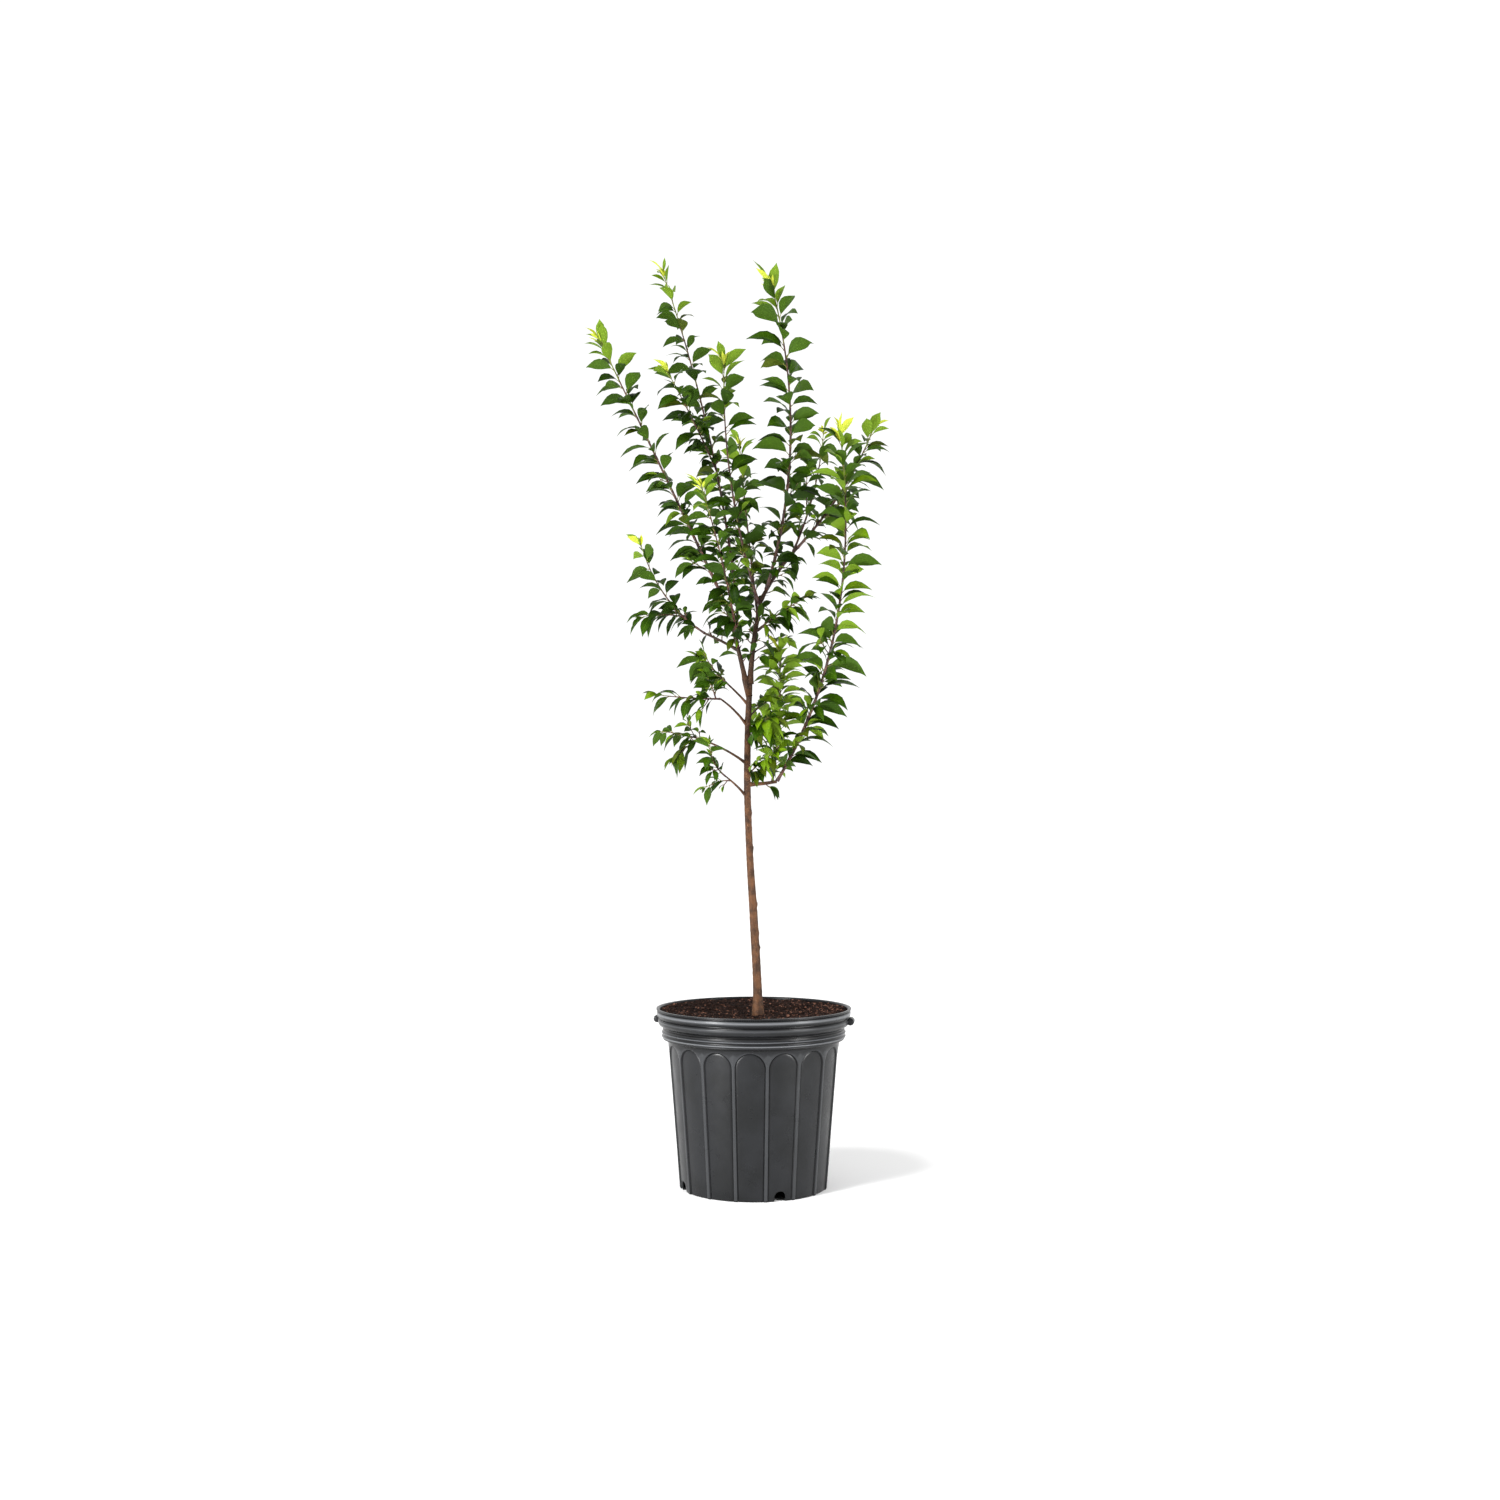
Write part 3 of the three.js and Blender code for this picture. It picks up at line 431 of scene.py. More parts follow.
# Leaf finishes: the colours of margin, blade, patches, veins and under face, and the upper face's
# roughness
LEAF_FINISHES = {
    "deep": ((12, 26, 2), (19, 39, 2), (28, 50, 3), (52, 80, 18), (44, 68, 16), 0.34),
    "green": ((22, 43, 2), (32, 58, 3), (44, 72, 5), (74, 104, 26), (58, 84, 22), 0.34),
    "olive": ((34, 46, 3), (48, 62, 4), (62, 76, 6), (90, 102, 26), (72, 86, 24), 0.42),
    "fresh": ((52, 82, 4), (76, 106, 8), (92, 121, 12), (124, 150, 42), (102, 130, 36), 0.36),
    "young": ((132, 146, 12), (160, 170, 24), (186, 190, 44), (200, 206, 84), (172, 184, 66), 0.42),
}

# Studio, in metres and watts; a sun's power is its strength
FLOOR_EDGE = 30.0
FLOOR_DROP = 0.0004
Lamp = namedtuple("Lamp", "kind place aim power shape")
LAMPS = {
    "sun_left": Lamp("SUN", (-2.2, -2.2, 3.6), (0, 0, 0), 2.1, {"angle": math.radians(16)}),
    "sun_right": Lamp("SUN", (2.6, -1.6, 2.0), (0, 0, 0), 0.8, {"angle": math.radians(16)}),
    "light_low_left": Lamp("AREA", (-1.75, -1.75, 0.42), (0, 0, 0.2), 72, {"shape": "DISK", "size": 0.4}),
    "light_low_right": Lamp("AREA", (1.9, -1.2, 0.42), (0, 0, 0.2), 36, {"shape": "DISK", "size": 0.6}),
}
CAMERA_PLACE = (0, -2.95, 0.66)
CAMERA_AIM = (-0.0066, 0, 0.767)
CAMERA_LENS = 39.86


# Arrays and meshes

def unit(vectors):
    """Each vector over its own length."""
    return vectors / np.linalg.norm(vectors, axis=-1, keepdims=True)


def eased(value, low, high):
    """0 below low and 1 above high; between them 3t^2 - 2t^3 of the share t."""
    t = np.clip((np.asarray(value, float) - low) / (high - low), 0, 1)
    return t * t * (3 - 2 * t)


def mixed(low, high, share):
    return low + (high - low) * share


def seeded_numbers(seed):
    """Even numbers from 0 to 1: the state times 1664525 plus 1013904223, kept to 32 bits."""
    state = seed * SEED_SPREAD % WHOLE

    def draw():
        nonlocal state
        state = (state * MULTIPLIER + ADDEND) % WHOLE
        return state / WHOLE

    return draw


def capped(rings, first, last):
    """Closed skins, each through its rings of points in turn, with a pole at either end.

    rings is (skins, rows, sides, 3), and runs anticlockwise as seen from the last pole.
    """
    count, rows, sides = rings.shape[:3]
    own = rings.reshape(count, rows * sides, 3)
    vertices = np.concatenate([own, first[:, None], last[:, None]], axis=1)
    row = np.arange(rows - 1)[:, None] * sides
    here = np.arange(sides)[None]
    after = (here + 1) % sides
    corners = [row + here, row + after, row + sides + after, row + sides + here]
    quads = np.stack(corners, -1).reshape(-1, 4)
    here, after = here[0], after[0]
    pole = np.full(sides, rows * sides)
    top = (rows - 1) * sides
    ends = [np.stack([pole, after, here], -1), np.stack([pole + 1, top + here, top + after], -1)]
    triangles = np.concatenate(ends)
    step = vertices.shape[1] * np.arange(count)[:, None, None]
    quads, triangles = quads + step, triangles + step
    return vertices.reshape(-1, 3), quads.reshape(-1, 4), triangles.reshape(-1, 3)


def joined(skins):
    """Several (vertices, quads, triangles) as one, each one's faces counted on from the last."""
    starts = np.cumsum([0] + [len(vertices) for vertices, _, _ in skins])
    vertices = np.concatenate([skin[0] for skin in skins])
    quads = np.concatenate([skin[1] + start for skin, start in zip(skins, starts)])
    triangles = np.concatenate([skin[2] + start for skin, start in zip(skins, starts)])
    return vertices, quads, triangles


def spokes_round(across, along, count):
    """So many spokes of a full turn: across times its cosine plus along times its sine."""
    turn = TAU * np.arange(count) / count
    return across[..., None, :] * np.cos(turn)[:, None] + along[..., None, :] * np.sin(turn)[:, None]


def tubes(middle, heading, radius, sides):
    """Round tubes. A ring is its middle plus the radius along spokes that turn from across to along.

    middle and heading are (tubes, rings, 3). radius is (tubes, rings) or (tubes, rings, sides).
    """
    across = unit(np.cross(BACK, heading))
    spokes = spokes_round(across, np.cross(heading, across), sides)
    radius = radius if radius.ndim == 3 else radius[..., None]
    rings = middle[..., None, :] + spokes * radius[..., None]
    return capped(rings, middle[:, 0], middle[:, -1])


def new_mesh(name, vertices, quads, triangles):
    """A mesh in metres from vertices in millimetres."""
    mesh = bpy.data.meshes.new(name)
    loops = np.concatenate([quads.ravel(), triangles.ravel()])
    quad_starts = 4 * np.arange(len(quads))
    starts = np.concatenate([quad_starts, 4 * len(quads) + 3 * np.arange(len(triangles))])
    mesh.vertices.add(len(vertices))
    mesh.vertices.foreach_set("co", (vertices * MM).astype(np.float32).ravel())
    mesh.loops.add(len(loops))
    mesh.loops.foreach_set("vertex_index", loops.astype(np.int32))
    mesh.polygons.add(len(starts))
    mesh.polygons.foreach_set("loop_start", starts.astype(np.int32))
    mesh.update(calc_edges=True)
    return mesh


def linked(name, data):
    """An object of that name in the scene, which holds the data."""
    made = bpy.data.objects.new(name, data)
    bpy.context.scene.collection.objects.link(made)
    return made


def new_piece(name, skin, finish, crease=None, uvs=None, weld=False):
    """A smooth-shaded piece that rides on the root, with edges sharper than crease degrees kept sharp."""
    mesh = new_mesh(name, *skin)
    if weld:
        welded(mesh)
    if uvs is not None:
        mesh.uv_layers.new(name="UVMap").data.foreach_set("uv", uvs.astype(np.float32).ravel())
    mesh.shade_smooth()
    if crease is not None:
        mesh.set_sharp_from_angle(angle=math.radians(crease))
    mesh.materials.append(finish)
    piece = linked(name, mesh)
    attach(piece, "root")
    return piece


def welded(mesh):
    """The mesh with its doubles merged, and its faces turned outwards."""
    shape = bmesh.new()
    shape.from_mesh(mesh)
    bmesh.ops.remove_doubles(shape, verts=shape.verts, dist=WELD_DISTANCE)
    bmesh.ops.recalc_face_normals(shape, faces=shape.faces)
    shape.to_mesh(mesh)
    shape.free()
    return mesh


# Nodes of a finish

def shade(red, green, blue):
    """A linear colour from one that is given as it looks on a screen, in 0 to 255."""
    parts = np.array([red, green, blue]) / 255
    linear = np.where(parts <= 0.04045, parts / 12.92, ((parts + 0.055) / 1.055) ** 2.4)
    return (*linear.tolist(), 1.0)


def feed(tree, inputs, **sockets):
    """Sets each named socket to a value, or links it to another node's output. An underscore in a name
    stands for a space, and _6 is the socket numbered 6."""
    for key, value in sockets.items():
        socket = inputs[int(key[1:])] if key[0] == "_" else inputs[key.replace("_", " ")]
        if isinstance(value, bpy.types.NodeSocket):
            tree.links.new(value, socket)
        else:
            socket.default_value = value


def add_node(tree, kind, settings=None, **sockets):
    made = tree.nodes.new(kind)
    for key, value in (settings or {}).items():
        setattr(made, key, value)
    feed(tree, made.inputs, **sockets)
    return made


def blend_colours(tree, share, low, high):
    """low where the share is 0, high where it is 1, and their mix between."""
    made = add_node(tree, "ShaderNodeMix", {"data_type": "RGBA"}, _0=share, _6=low, _7=high)
    return made.outputs[2]


def maths(tree, operation, *values):
    sockets = {f"_{i}": value for i, value in enumerate(values)}
    return add_node(tree, "ShaderNodeMath", {"operation": operation}, **sockets).outputs[0]


def times(tree, one, other):
    return maths(tree, "MULTIPLY", one, other)


def less(tree, whole, part):
    return maths(tree, "SUBTRACT", whole, part)


def ranged(tree, value, low, high, start, end):
    """The value's share of the way from low to high, as the same share from start to end."""
    made = add_node(
        tree, "ShaderNodeMapRange", {"interpolation_type": "SMOOTHSTEP"}, Value=value,
        From_Min=low, From_Max=high, To_Min=start, To_Max=end,
    )
    return made.outputs["Result"]


def noise(tree, place, scale, detail=3.0, roughness=0.55):
    made = add_node(
        tree, "ShaderNodeTexNoise", Vector=place, Scale=scale, Detail=detail, Roughness=roughness
    )
    return made.outputs["Fac"]


def new_group(name, inputs, outputs):
    """An empty group with named sockets; each is (name, kind, value)."""
    tree = bpy.data.node_groups.new(name, "ShaderNodeTree")
    for label, kind, value in inputs:
        socket = tree.interface.new_socket(label, in_out="INPUT", socket_type=kind)
        if value is not None:
            socket.default_value = value
    for label, kind in outputs:
        tree.interface.new_socket(label, in_out="OUTPUT", socket_type=kind)
    return tree, tree.nodes.new("NodeGroupInput").outputs, tree.nodes.new("NodeGroupOutput").inputs


def mottle_group():
    """Two colours in soft patches with a finer grain over them. -> the colour, and the grain's height."""
    tree, given, results = new_group("mottle", [
        ("Place", "NodeSocketVector", None),
        ("Patch Scale", "NodeSocketFloat", 60.0),
        ("Grain Scale", "NodeSocketFloat", 900.0),
        ("Patch Colour", "NodeSocketColor", (1, 1, 1, 1)),
        ("Ground Colour", "NodeSocketColor", (0, 0, 0, 1)),
    ], [("Colour", "NodeSocketColor"), ("Grain", "NodeSocketFloat")])
    patches = noise(tree, given["Place"], given["Patch Scale"])
    grain = noise(tree, given["Place"], given["Grain Scale"], 2.0)
    both = maths(tree, "ADD", times(tree, patches, 0.75), times(tree, grain, 0.25))
    share = ranged(tree, both, 0.38, 0.62, 0.0, 1.0)
    colour = blend_colours(tree, share, given["Ground Colour"], given["Patch Colour"])
    feed(tree, results, Colour=colour, Grain=grain)
    return tree


def vein_group():
    """A leaf's midrib and side veins from its UV map, which runs from 0 to 1 across the upper face and
    from 1 to 2 across the under face. -> the veins, the margin, the under face, and the height."""
    tree, given, results = new_group("leaf_veins", [("UV", "NodeSocketVector", None)], [
        ("Veins", "NodeSocketFloat"), ("Margin", "NodeSocketFloat"), ("Under Face", "NodeSocketFloat"),
        ("Height", "NodeSocketFloat"),
    ])
    parts = add_node(tree, "ShaderNodeSeparateXYZ", Vector=given["UV"]).outputs
    under = maths(tree, "GREATER_THAN", parts["X"], 1.0)
    centred = less(tree, less(tree, parts["X"], under), 0.5)
    aside = times(tree, maths(tree, "ABSOLUTE", centred), 2.0)
    midrib = ranged(tree, aside, 0.0, 0.10, 1.0, 0.0)
    slant = less(tree, times(tree, parts["Y"], 8.0), aside)
    wave = maths(tree, "SINE", times(tree, slant, TAU))
    side_veins = ranged(tree, wave, 0.82, 1.0, 0.0, 0.5)
    fading = times(tree, side_veins, ranged(tree, aside, 0.35, 1.0, 1.0, 0.2))
    veins = maths(tree, "MAXIMUM", midrib, fading)
    quilted = times(tree, less(tree, 1.0, veins), 0.7)
    margin = ranged(tree, aside, 0.62, 1.0, 0.0, 1.0)
    feed(tree, results, Veins=veins, Margin=margin, Under_Face=under, Height=quilted)
    return tree


MOTTLE = mottle_group()
VEINS = vein_group()


def new_finish(name, specular):
    """A material with a Principled shader. -> the material, its node tree, the shader, object places."""
    finish = bpy.data.materials.new(name)
    finish.use_nodes = True
    tree = finish.node_tree
    shader = tree.nodes["Principled BSDF"]
    feed(tree, shader.inputs, Specular_IOR_Level=specular)
    place = tree.nodes.new("ShaderNodeTexCoord").outputs["Object"]
    return finish, tree, shader, place


def mottled(tree, place, patch, ground, patch_scale, grain_scale):
    """The mottle group with its own values; the colours are given as they look on a screen."""
    made = add_node(
        tree, "ShaderNodeGroup", {"node_tree": MOTTLE}, Place=place, Patch_Scale=patch_scale,
        Grain_Scale=grain_scale, Patch_Colour=shade(*patch), Ground_Colour=shade(*ground),
    )
    return made.outputs["Colour"], made.outputs["Grain"]


def add_relief(tree, shader, height, strength, distance):
    bump = add_node(tree, "ShaderNodeBump", Strength=strength, Distance=distance, Height=height)
    feed(tree, shader.inputs, Normal=bump.outputs["Normal"])


def moulded_plastic():
    """Near-black moulded plastic with a satin sheen and a fine pebbled grain, with a painted highlight on
    its crests and painted shade down in its grooves."""
    finish, tree, shader, place = new_finish("moulded_plastic", 0.2)
    colour, grain = mottled(tree, place, PLASTIC_PATCH, PLASTIC_GROUND, 16.0, 1400.0)
    painted_light = add_node(tree, "ShaderNodeAttribute", {"attribute_name": "painted_light"}).outputs["Fac"]
    # The attribute read here is painted light: a painted highlight on the crests above 0, painted shade
    # in the grooves below 0
    on_crests = ranged(tree, painted_light, 0.0, 1.0, 0.0, 1.0)
    in_grooves = ranged(tree, painted_light, -1.0, 0.0, 1.0, 0.0)
    highlighted_crests = blend_colours(tree, on_crests, colour, shade(*PLASTIC_PAINTED_HIGHLIGHT))
    shaded_grooves = blend_colours(tree, in_grooves, highlighted_crests, shade(*PLASTIC_PAINTED_SHADE))
    sheen = ranged(tree, noise(tree, place, 40.0), 0.3, 0.7, 0.27, 0.34)
    feed(tree, shader.inputs, Base_Color=shaded_grooves, Roughness=sheen)
    add_relief(tree, shader, grain, 0.12, 0.0004)
    return finish


def mottled_finish(name):
    """Two close colours in patches, with the grain as relief."""
    own = MOTTLES[name]
    finish, tree, shader, place = new_finish(name, own.specular)
    colour, grain = mottled(tree, place, own.patch, own.ground, *own.scales)
    feed(tree, shader.inputs, Base_Color=colour, Roughness=own.roughness)
    add_relief(tree, shader, grain, *own.relief)
    return finish


def tree_bark():
    """Smooth reddish-brown young bark, darker high up, with pale flecks that lie across it."""
    finish, tree, shader, place = new_finish("young_bark", 0.16)
    older, grain = mottled(tree, place, BARK_PATCH, BARK_GROUND, 70.0, 800.0)
    height = add_node(tree, "ShaderNodeSeparateXYZ", Vector=place).outputs["Z"]
    high_up = ranged(tree, height, *BARK_DARKENS, 0.0, 0.85)
    colour = blend_colours(tree, high_up, older, shade(*BARK_HIGH))
    flat = add_node(tree, "ShaderNodeMapping", Vector=place, Scale=(1.0, 1.0, 3.2)).outputs["Vector"]
    spots = add_node(tree, "ShaderNodeTexVoronoi", Vector=flat, Scale=190.0).outputs["Distance"]
    fleck = ranged(tree, spots, 0.10, 0.22, 0.65, 0.0)
    flecked = blend_colours(tree, fleck, colour, shade(*BARK_FLECK))
    feed(tree, shader.inputs, Base_Color=flecked, Roughness=0.6)
    add_relief(tree, shader, maths(tree, "ADD", grain, fleck), 0.35, 0.0006)
    return finish


def leaf_finish(kind):
    """A leaf: its own green in soft patches, darker at the margin, with paler veins sunk in it and a
    paler duller under face."""
    margin, blade, patch, vein, under, roughness = LEAF_FINISHES[kind]
    finish, tree, shader, place = new_finish("leaf_" + kind, 0.06)
    uv = tree.nodes.new("ShaderNodeUVMap")
    uv.uv_map = "UVMap"
    veined = add_node(tree, "ShaderNodeGroup", {"node_tree": VEINS}, UV=uv.outputs["UV"]).outputs
    colour, grain = mottled(tree, place, patch, blade, 45.0, 700.0)
    edged = blend_colours(tree, times(tree, veined["Margin"], 0.5), colour, shade(*margin))
    lined = blend_colours(tree, times(tree, veined["Veins"], 0.5), edged, shade(*vein))
    turned = blend_colours(tree, times(tree, veined["Under Face"], 0.75), lined, shade(*under))
    dull = ranged(tree, veined["Under Face"], 0.0, 1.0, roughness, roughness + 0.2)
    feed(tree, shader.inputs, Base_Color=turned, Roughness=dull)
    height = maths(tree, "ADD", veined["Height"], times(tree, grain, 0.3))
    add_relief(tree, shader, height, 0.35, 0.0004)
    return finish


# Pot

def wall_radius(height):
    """Below the shoulder the wall widens evenly with height."""
    return mixed(FOOT_RADIUS, SHOULDER_RADIUS, height / SHOULDER_HEIGHT)


def panel_grid():
    """One panel as a path up its left rib, over its arch and down its right rib, times levels inwards.

    Each path point has a border point on the rib's middle line or the shoulder, an edge point on the
    arched outline, and a centre point. A level is its edge point plus a step along the outward
    direction. The wall sinks from 0 to the panel's depth over the levels at the edge, with a fine
    groove a quarter deeper just inside it.
    """
    pitch = TAU / PANEL_COUNT
    half_pitch = np.array([wall_radius(0), wall_radius(SHOULDER_HEIGHT)]) * pitch / 2
    foot_half, top_half = half_pitch - RIB_WIDTH / 2
    spring = PANEL_TOP - top_half
    slope = (half_pitch[1] - half_pitch[0]) / SHOULDER_HEIGHT
    at_spring = half_pitch[0] + slope * spring
    rise = SHOULDER_HEIGHT - spring
    corner = math.atan2(rise, half_pitch[1])

    rows = PANEL_HEIGHTS
    rib_edge = np.stack([-mixed(foot_half, top_half, rows / spring), rows], -1)
    rib_border = np.stack([-(half_pitch[0] + slope * rows), rows], -1)
    rib_centre = np.stack([np.zeros_like(rows), rows], -1)
    rib_outward = np.tile([-1.0, 0.0], (len(rows), 1))

    turns = np.concatenate([
        np.linspace(math.pi, math.pi - corner, ARCH_SIDE_POINTS)[:-1],
        np.linspace(math.pi - corner, corner, ARCH_TOP_POINTS),
        np.linspace(corner, 0, ARCH_SIDE_POINTS)[1:],
    ])
    outward = np.stack([np.cos(turns), np.sin(turns)], -1)
    sideways = at_spring / np.maximum(np.abs(outward[:, 0]) - slope * outward[:, 1], TINY)
    upwards = rise / np.maximum(outward[:, 1], TINY)
    reach = np.minimum(sideways, upwards)
    middle = np.array([0.0, spring])
    arch_edge = middle + outward * top_half
    arch_border = middle + outward * reach[:, None]
    arch_centre = np.tile(middle, (len(turns), 1))

    mirror = np.array([-1.0, 1.0])
    edge = np.concatenate([rib_edge, arch_edge, rib_edge[::-1] * mirror])
    border = np.concatenate([rib_border, arch_border, rib_border[::-1] * mirror])
    centre = np.concatenate([rib_centre, arch_centre, rib_centre[::-1]])
    out = np.concatenate([rib_outward, outward, rib_outward[::-1] * mirror])

    stepped = [edge + out * step for step in PANEL_STEPS]
    flat = np.stack([border, *stepped, mixed(stepped[-1], centre, 0.5), centre], 1)
    depth = np.broadcast_to(PANEL_DEPTH * np.array(PANEL_SUNK), flat.shape[:2])
    return flat, depth


def on_wall(flat, depth, panel):
    """A panel's flat point on the tapering wall: its angle is the panel's own plus the sideways
    distance over the radius, and it lies at the radius less the depth. The foot's edge is rounded."""
    across, height = flat[..., 0], flat[..., 1]
    radius = wall_radius(height)
    angle = math.radians(PANEL_TURN) + panel * TAU / PANEL_COUNT + across / radius
    rounding = FOOT_ROUNDING * (1 - eased(height, 0, FOOT_ROUNDING_HEIGHT))
    reach = radius - depth - rounding
    return np.stack([reach * np.sin(angle), -reach * np.cos(angle), height + 0 * angle], -1)


def turned_by(degrees):
    """What turns rows of points round the pot's own axis."""
    turn = math.radians(degrees)
    cosine, sine = math.cos(turn), math.sin(turn)
    return np.array([[cosine, sine, 0], [-sine, cosine, 0], [0, 0, 1]])


def grid_faces(rows, columns, start=0, around=False):
    """Quads between neighbouring rows and columns of a grid, closed round the columns if asked."""
    row = np.arange(rows - 1)[:, None] * columns
    here = np.arange(columns if around else columns - 1)[None]
    after = (here + 1) % columns
    corners = [row + here, row + after, row + columns + after, row + columns + here]
    return np.stack(corners, -1).reshape(-1, 4) + start


def rounded(profile, reach=1.0, segments=4):
    """A profile whose corners are quadratic arcs, with a support point just outside each arc.

    The arc of a corner B between A and C mixes A-side, B and C-side points as (1-t)^2, 2t(1-t), t^2. It
    starts at the reach from B, or nearer where a side is short.
    """
    points = np.array(profile, float)
    result = [points[:1]]
    t = np.linspace(0, 1, segments + 1)[:, None]
    for before, corner, after in zip(points, points[1:], points[2:]):
        to_before, to_after = before - corner, after - corner
        shortest = min(np.linalg.norm(to_before), np.linalg.norm(to_after))
        step = min(reach, 0.32 * shortest)
        back, on = unit(to_before) * step, unit(to_after) * step
        first, last = corner + back, corner + on
        arc = first * (1 - t) ** 2 + corner * 2 * t * (1 - t) + last * t**2
        result += [first[None] + back * 0.35, arc, last[None] + on * 0.35]
    return np.concatenate(result + [points[-1:]])


def pot_profile():
    """Radius and height from the shoulder up over the beaded collar and the lip, and down the inside.

    A bead is its reach times cos^2 of its own share of a half turn.
    """
    apart = np.abs(COLLAR_HEIGHTS[:, None] - np.array(BEAD_HEIGHTS))
    bead = BEAD_REACH * np.cos(math.pi / 2 * np.minimum(apart / BEAD_HALF_WIDTH, 1)) ** 2
    collar = np.stack([COLLAR_RADIUS + bead.sum(-1), COLLAR_HEIGHTS], -1)
    return np.concatenate([rounded(SHOULDER_OUTLINE, 0.8), collar, rounded(LIP_OUTLINE + INSIDE_OUTLINE)])


def panelled_wall(flat, depth):
    """Every panel's points on the wall, as (panels, path, levels, 3), and their faces."""
    cells = on_wall(flat[None], depth[None], np.arange(PANEL_COUNT)[:, None, None])
    path, levels = flat.shape[:2]
    faces = np.concatenate([grid_faces(path, levels, i * path * levels) for i in range(PANEL_COUNT)])
    return cells, faces


def turned_rim(flat):
    """The profile over the wall, turned through the angles of the panels' own points on the shoulder."""
    on_top = np.abs(flat[:, 0, 1] - SHOULDER_HEIGHT) < TINY
    columns = flat[on_top, 0, 0][:-1] / wall_radius(SHOULDER_HEIGHT)
    panel = np.arange(PANEL_COUNT)[:, None] * TAU / PANEL_COUNT
    angles = (math.radians(PANEL_TURN) + panel + columns).ravel()
    profile = pot_profile()
    radius, height = profile[:, :1], profile[:, 1:]
    rings = [radius * np.sin(angles), -radius * np.cos(angles), height + 0 * angles]
    return np.stack(rings, -1), grid_faces(len(profile), len(angles), around=True)


def underside(cells):
    """The wall's lowest points, drawn in to the middle at the level of the ground."""
    foot = np.concatenate([cells[:, 0, :], cells[:, -1, ::-1][:, 1:]], axis=1)[:, :-1].reshape(-1, 3)
    rings = foot * np.array([1, 1, 0]) * UNDERSIDE_SHARES[:, None, None]
    return rings, grid_faces(len(rings), len(foot), around=True)


def pot_shell():
    """The wall, what is turned over it, and the underside, which meet edge to edge."""
    flat, depth = panel_grid()
    cells, cell_faces = panelled_wall(flat, depth)
    parts = [(cells, cell_faces), turned_rim(flat), underside(cells)]
    return joined([(points.reshape(-1, 3), faces, NO_TRIANGLES) for points, faces in parts])


def lug(side):
    """A round bar along Y, whose edge at each end turns through a quarter circle."""
    turn = np.linspace(0, math.pi / 2, 5)
    inset = LUG_BEVEL * (1 - np.cos(turn))
    reach = LUG_RADIUS - LUG_BEVEL * (1 - np.sin(turn))
    places = np.concatenate([inset - LUG_HALF_LENGTH, LUG_HALF_LENGTH - inset[::-1]])
    reaches = np.concatenate([reach, reach[::-1]])
    middle = np.array([side * LUG_OFFSET, 0, LUG_HEIGHT]) + BACK * places[:, None]
    spokes = spokes_round(LEFT, UP, LUG_SIDES)
    rings = (middle[:, None] + spokes * reaches[:, None, None]) @ turned_by(LUG_TURN)
    middle = middle @ turned_by(LUG_TURN)
    return capped(rings[None], middle[None, 0], middle[None, -1])


def arch_cutter(angle):
    """The shape of a drain notch: an upright arch outline carried inwards through the wall."""
    half = NOTCH_HALF_WIDTH
    arc = np.linspace(0, math.pi, 13)
    arch = np.stack([half * np.cos(arc), NOTCH_HEIGHT - half + half * np.sin(arc)], -1)
    outline = np.concatenate([[(-half, -NOTCH_BELOW), (half, -NOTCH_BELOW)], arch])
    depths = FOOT_RADIUS + np.array(NOTCH_DEPTHS)[:, None]
    local = np.stack(np.broadcast_arrays(outline[:, 0], -depths, outline[:, 1]), -1)
    rings = (local @ turned_by(angle + PANEL_TURN))[None]
    return capped(rings, rings[:, 0].mean(1), rings[:, 1].mean(1))


def carved(target, cutter_mesh):
    """Takes the cutter's shape out of the target's mesh."""
    cutter = linked("cutter", cutter_mesh)
    cut = target.modifiers.new("notches", "BOOLEAN")
    cut.operation = "DIFFERENCE"
    cut.solver = "EXACT"
    cut.object = cutter
    graph = bpy.context.evaluated_depsgraph_get()
    mesh = bpy.data.meshes.new_from_object(target.evaluated_get(graph))
    target.modifiers.clear()
    target.data = mesh
    bpy.data.objects.remove(cutter)


def add_painted_light(mesh):
    """How much painted light each point of the pot's outside gets: 1 is a painted highlight on a crest, 0
    a plain wall, -1 painted shade in a groove.

    Below the shoulder it comes from the depth under the wall's own cone: the ribs get a faint painted
    highlight, and what lies deeper than a panel gets painted groove shade. Above it a crest or groove at
    a height adds exp(-d^2).
    """
    place = np.zeros(3 * len(mesh.vertices), np.float32)
    mesh.vertices.foreach_get("co", place)
    x, y, height = place.reshape(-1, 3).T / MM
    radius = np.hypot(x, y)
    depth = wall_radius(height) - radius
    ribs = RIB_PAINTED_HIGHLIGHT * (1 - eased(depth, 0.1, 0.6))
    low = ribs - eased(depth, PANEL_DEPTH, 1.25 * PANEL_DEPTH)
    high = sum(size * np.exp(-((height - middle) / reach) ** 2) for middle, reach, size in PAINTED_LIGHT_BANDS)
    painted_light = np.where(height < SHOULDER_HEIGHT - 0.5, low, high)
    cone = wall_radius(np.minimum(height, SHOULDER_HEIGHT))
    painted_light = np.where(radius > cone - OUTSIDE_DEPTH, painted_light, 0)
    mesh.attributes.new("painted_light", "FLOAT", "POINT").data.foreach_set("value", painted_light.astype(np.float32))


def make_pot():
    plastic = moulded_plastic()
    pot = new_piece("nursery_pot", pot_shell(), plastic, crease=PLASTIC_CREASE, weld=True)
    notches = joined([arch_cutter(angle) for angle in NOTCH_ANGLES])
    carved(pot, welded(new_mesh("notch_cutter", *notches)))
    # Paints highlights on the crests and shade in the grooves
    add_painted_light(pot.data)
    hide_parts("pot")
    new_piece("pot_lugs", joined([lug(-1), lug(1)]), plastic, crease=PLASTIC_CREASE, weld=True)


# Potting mix

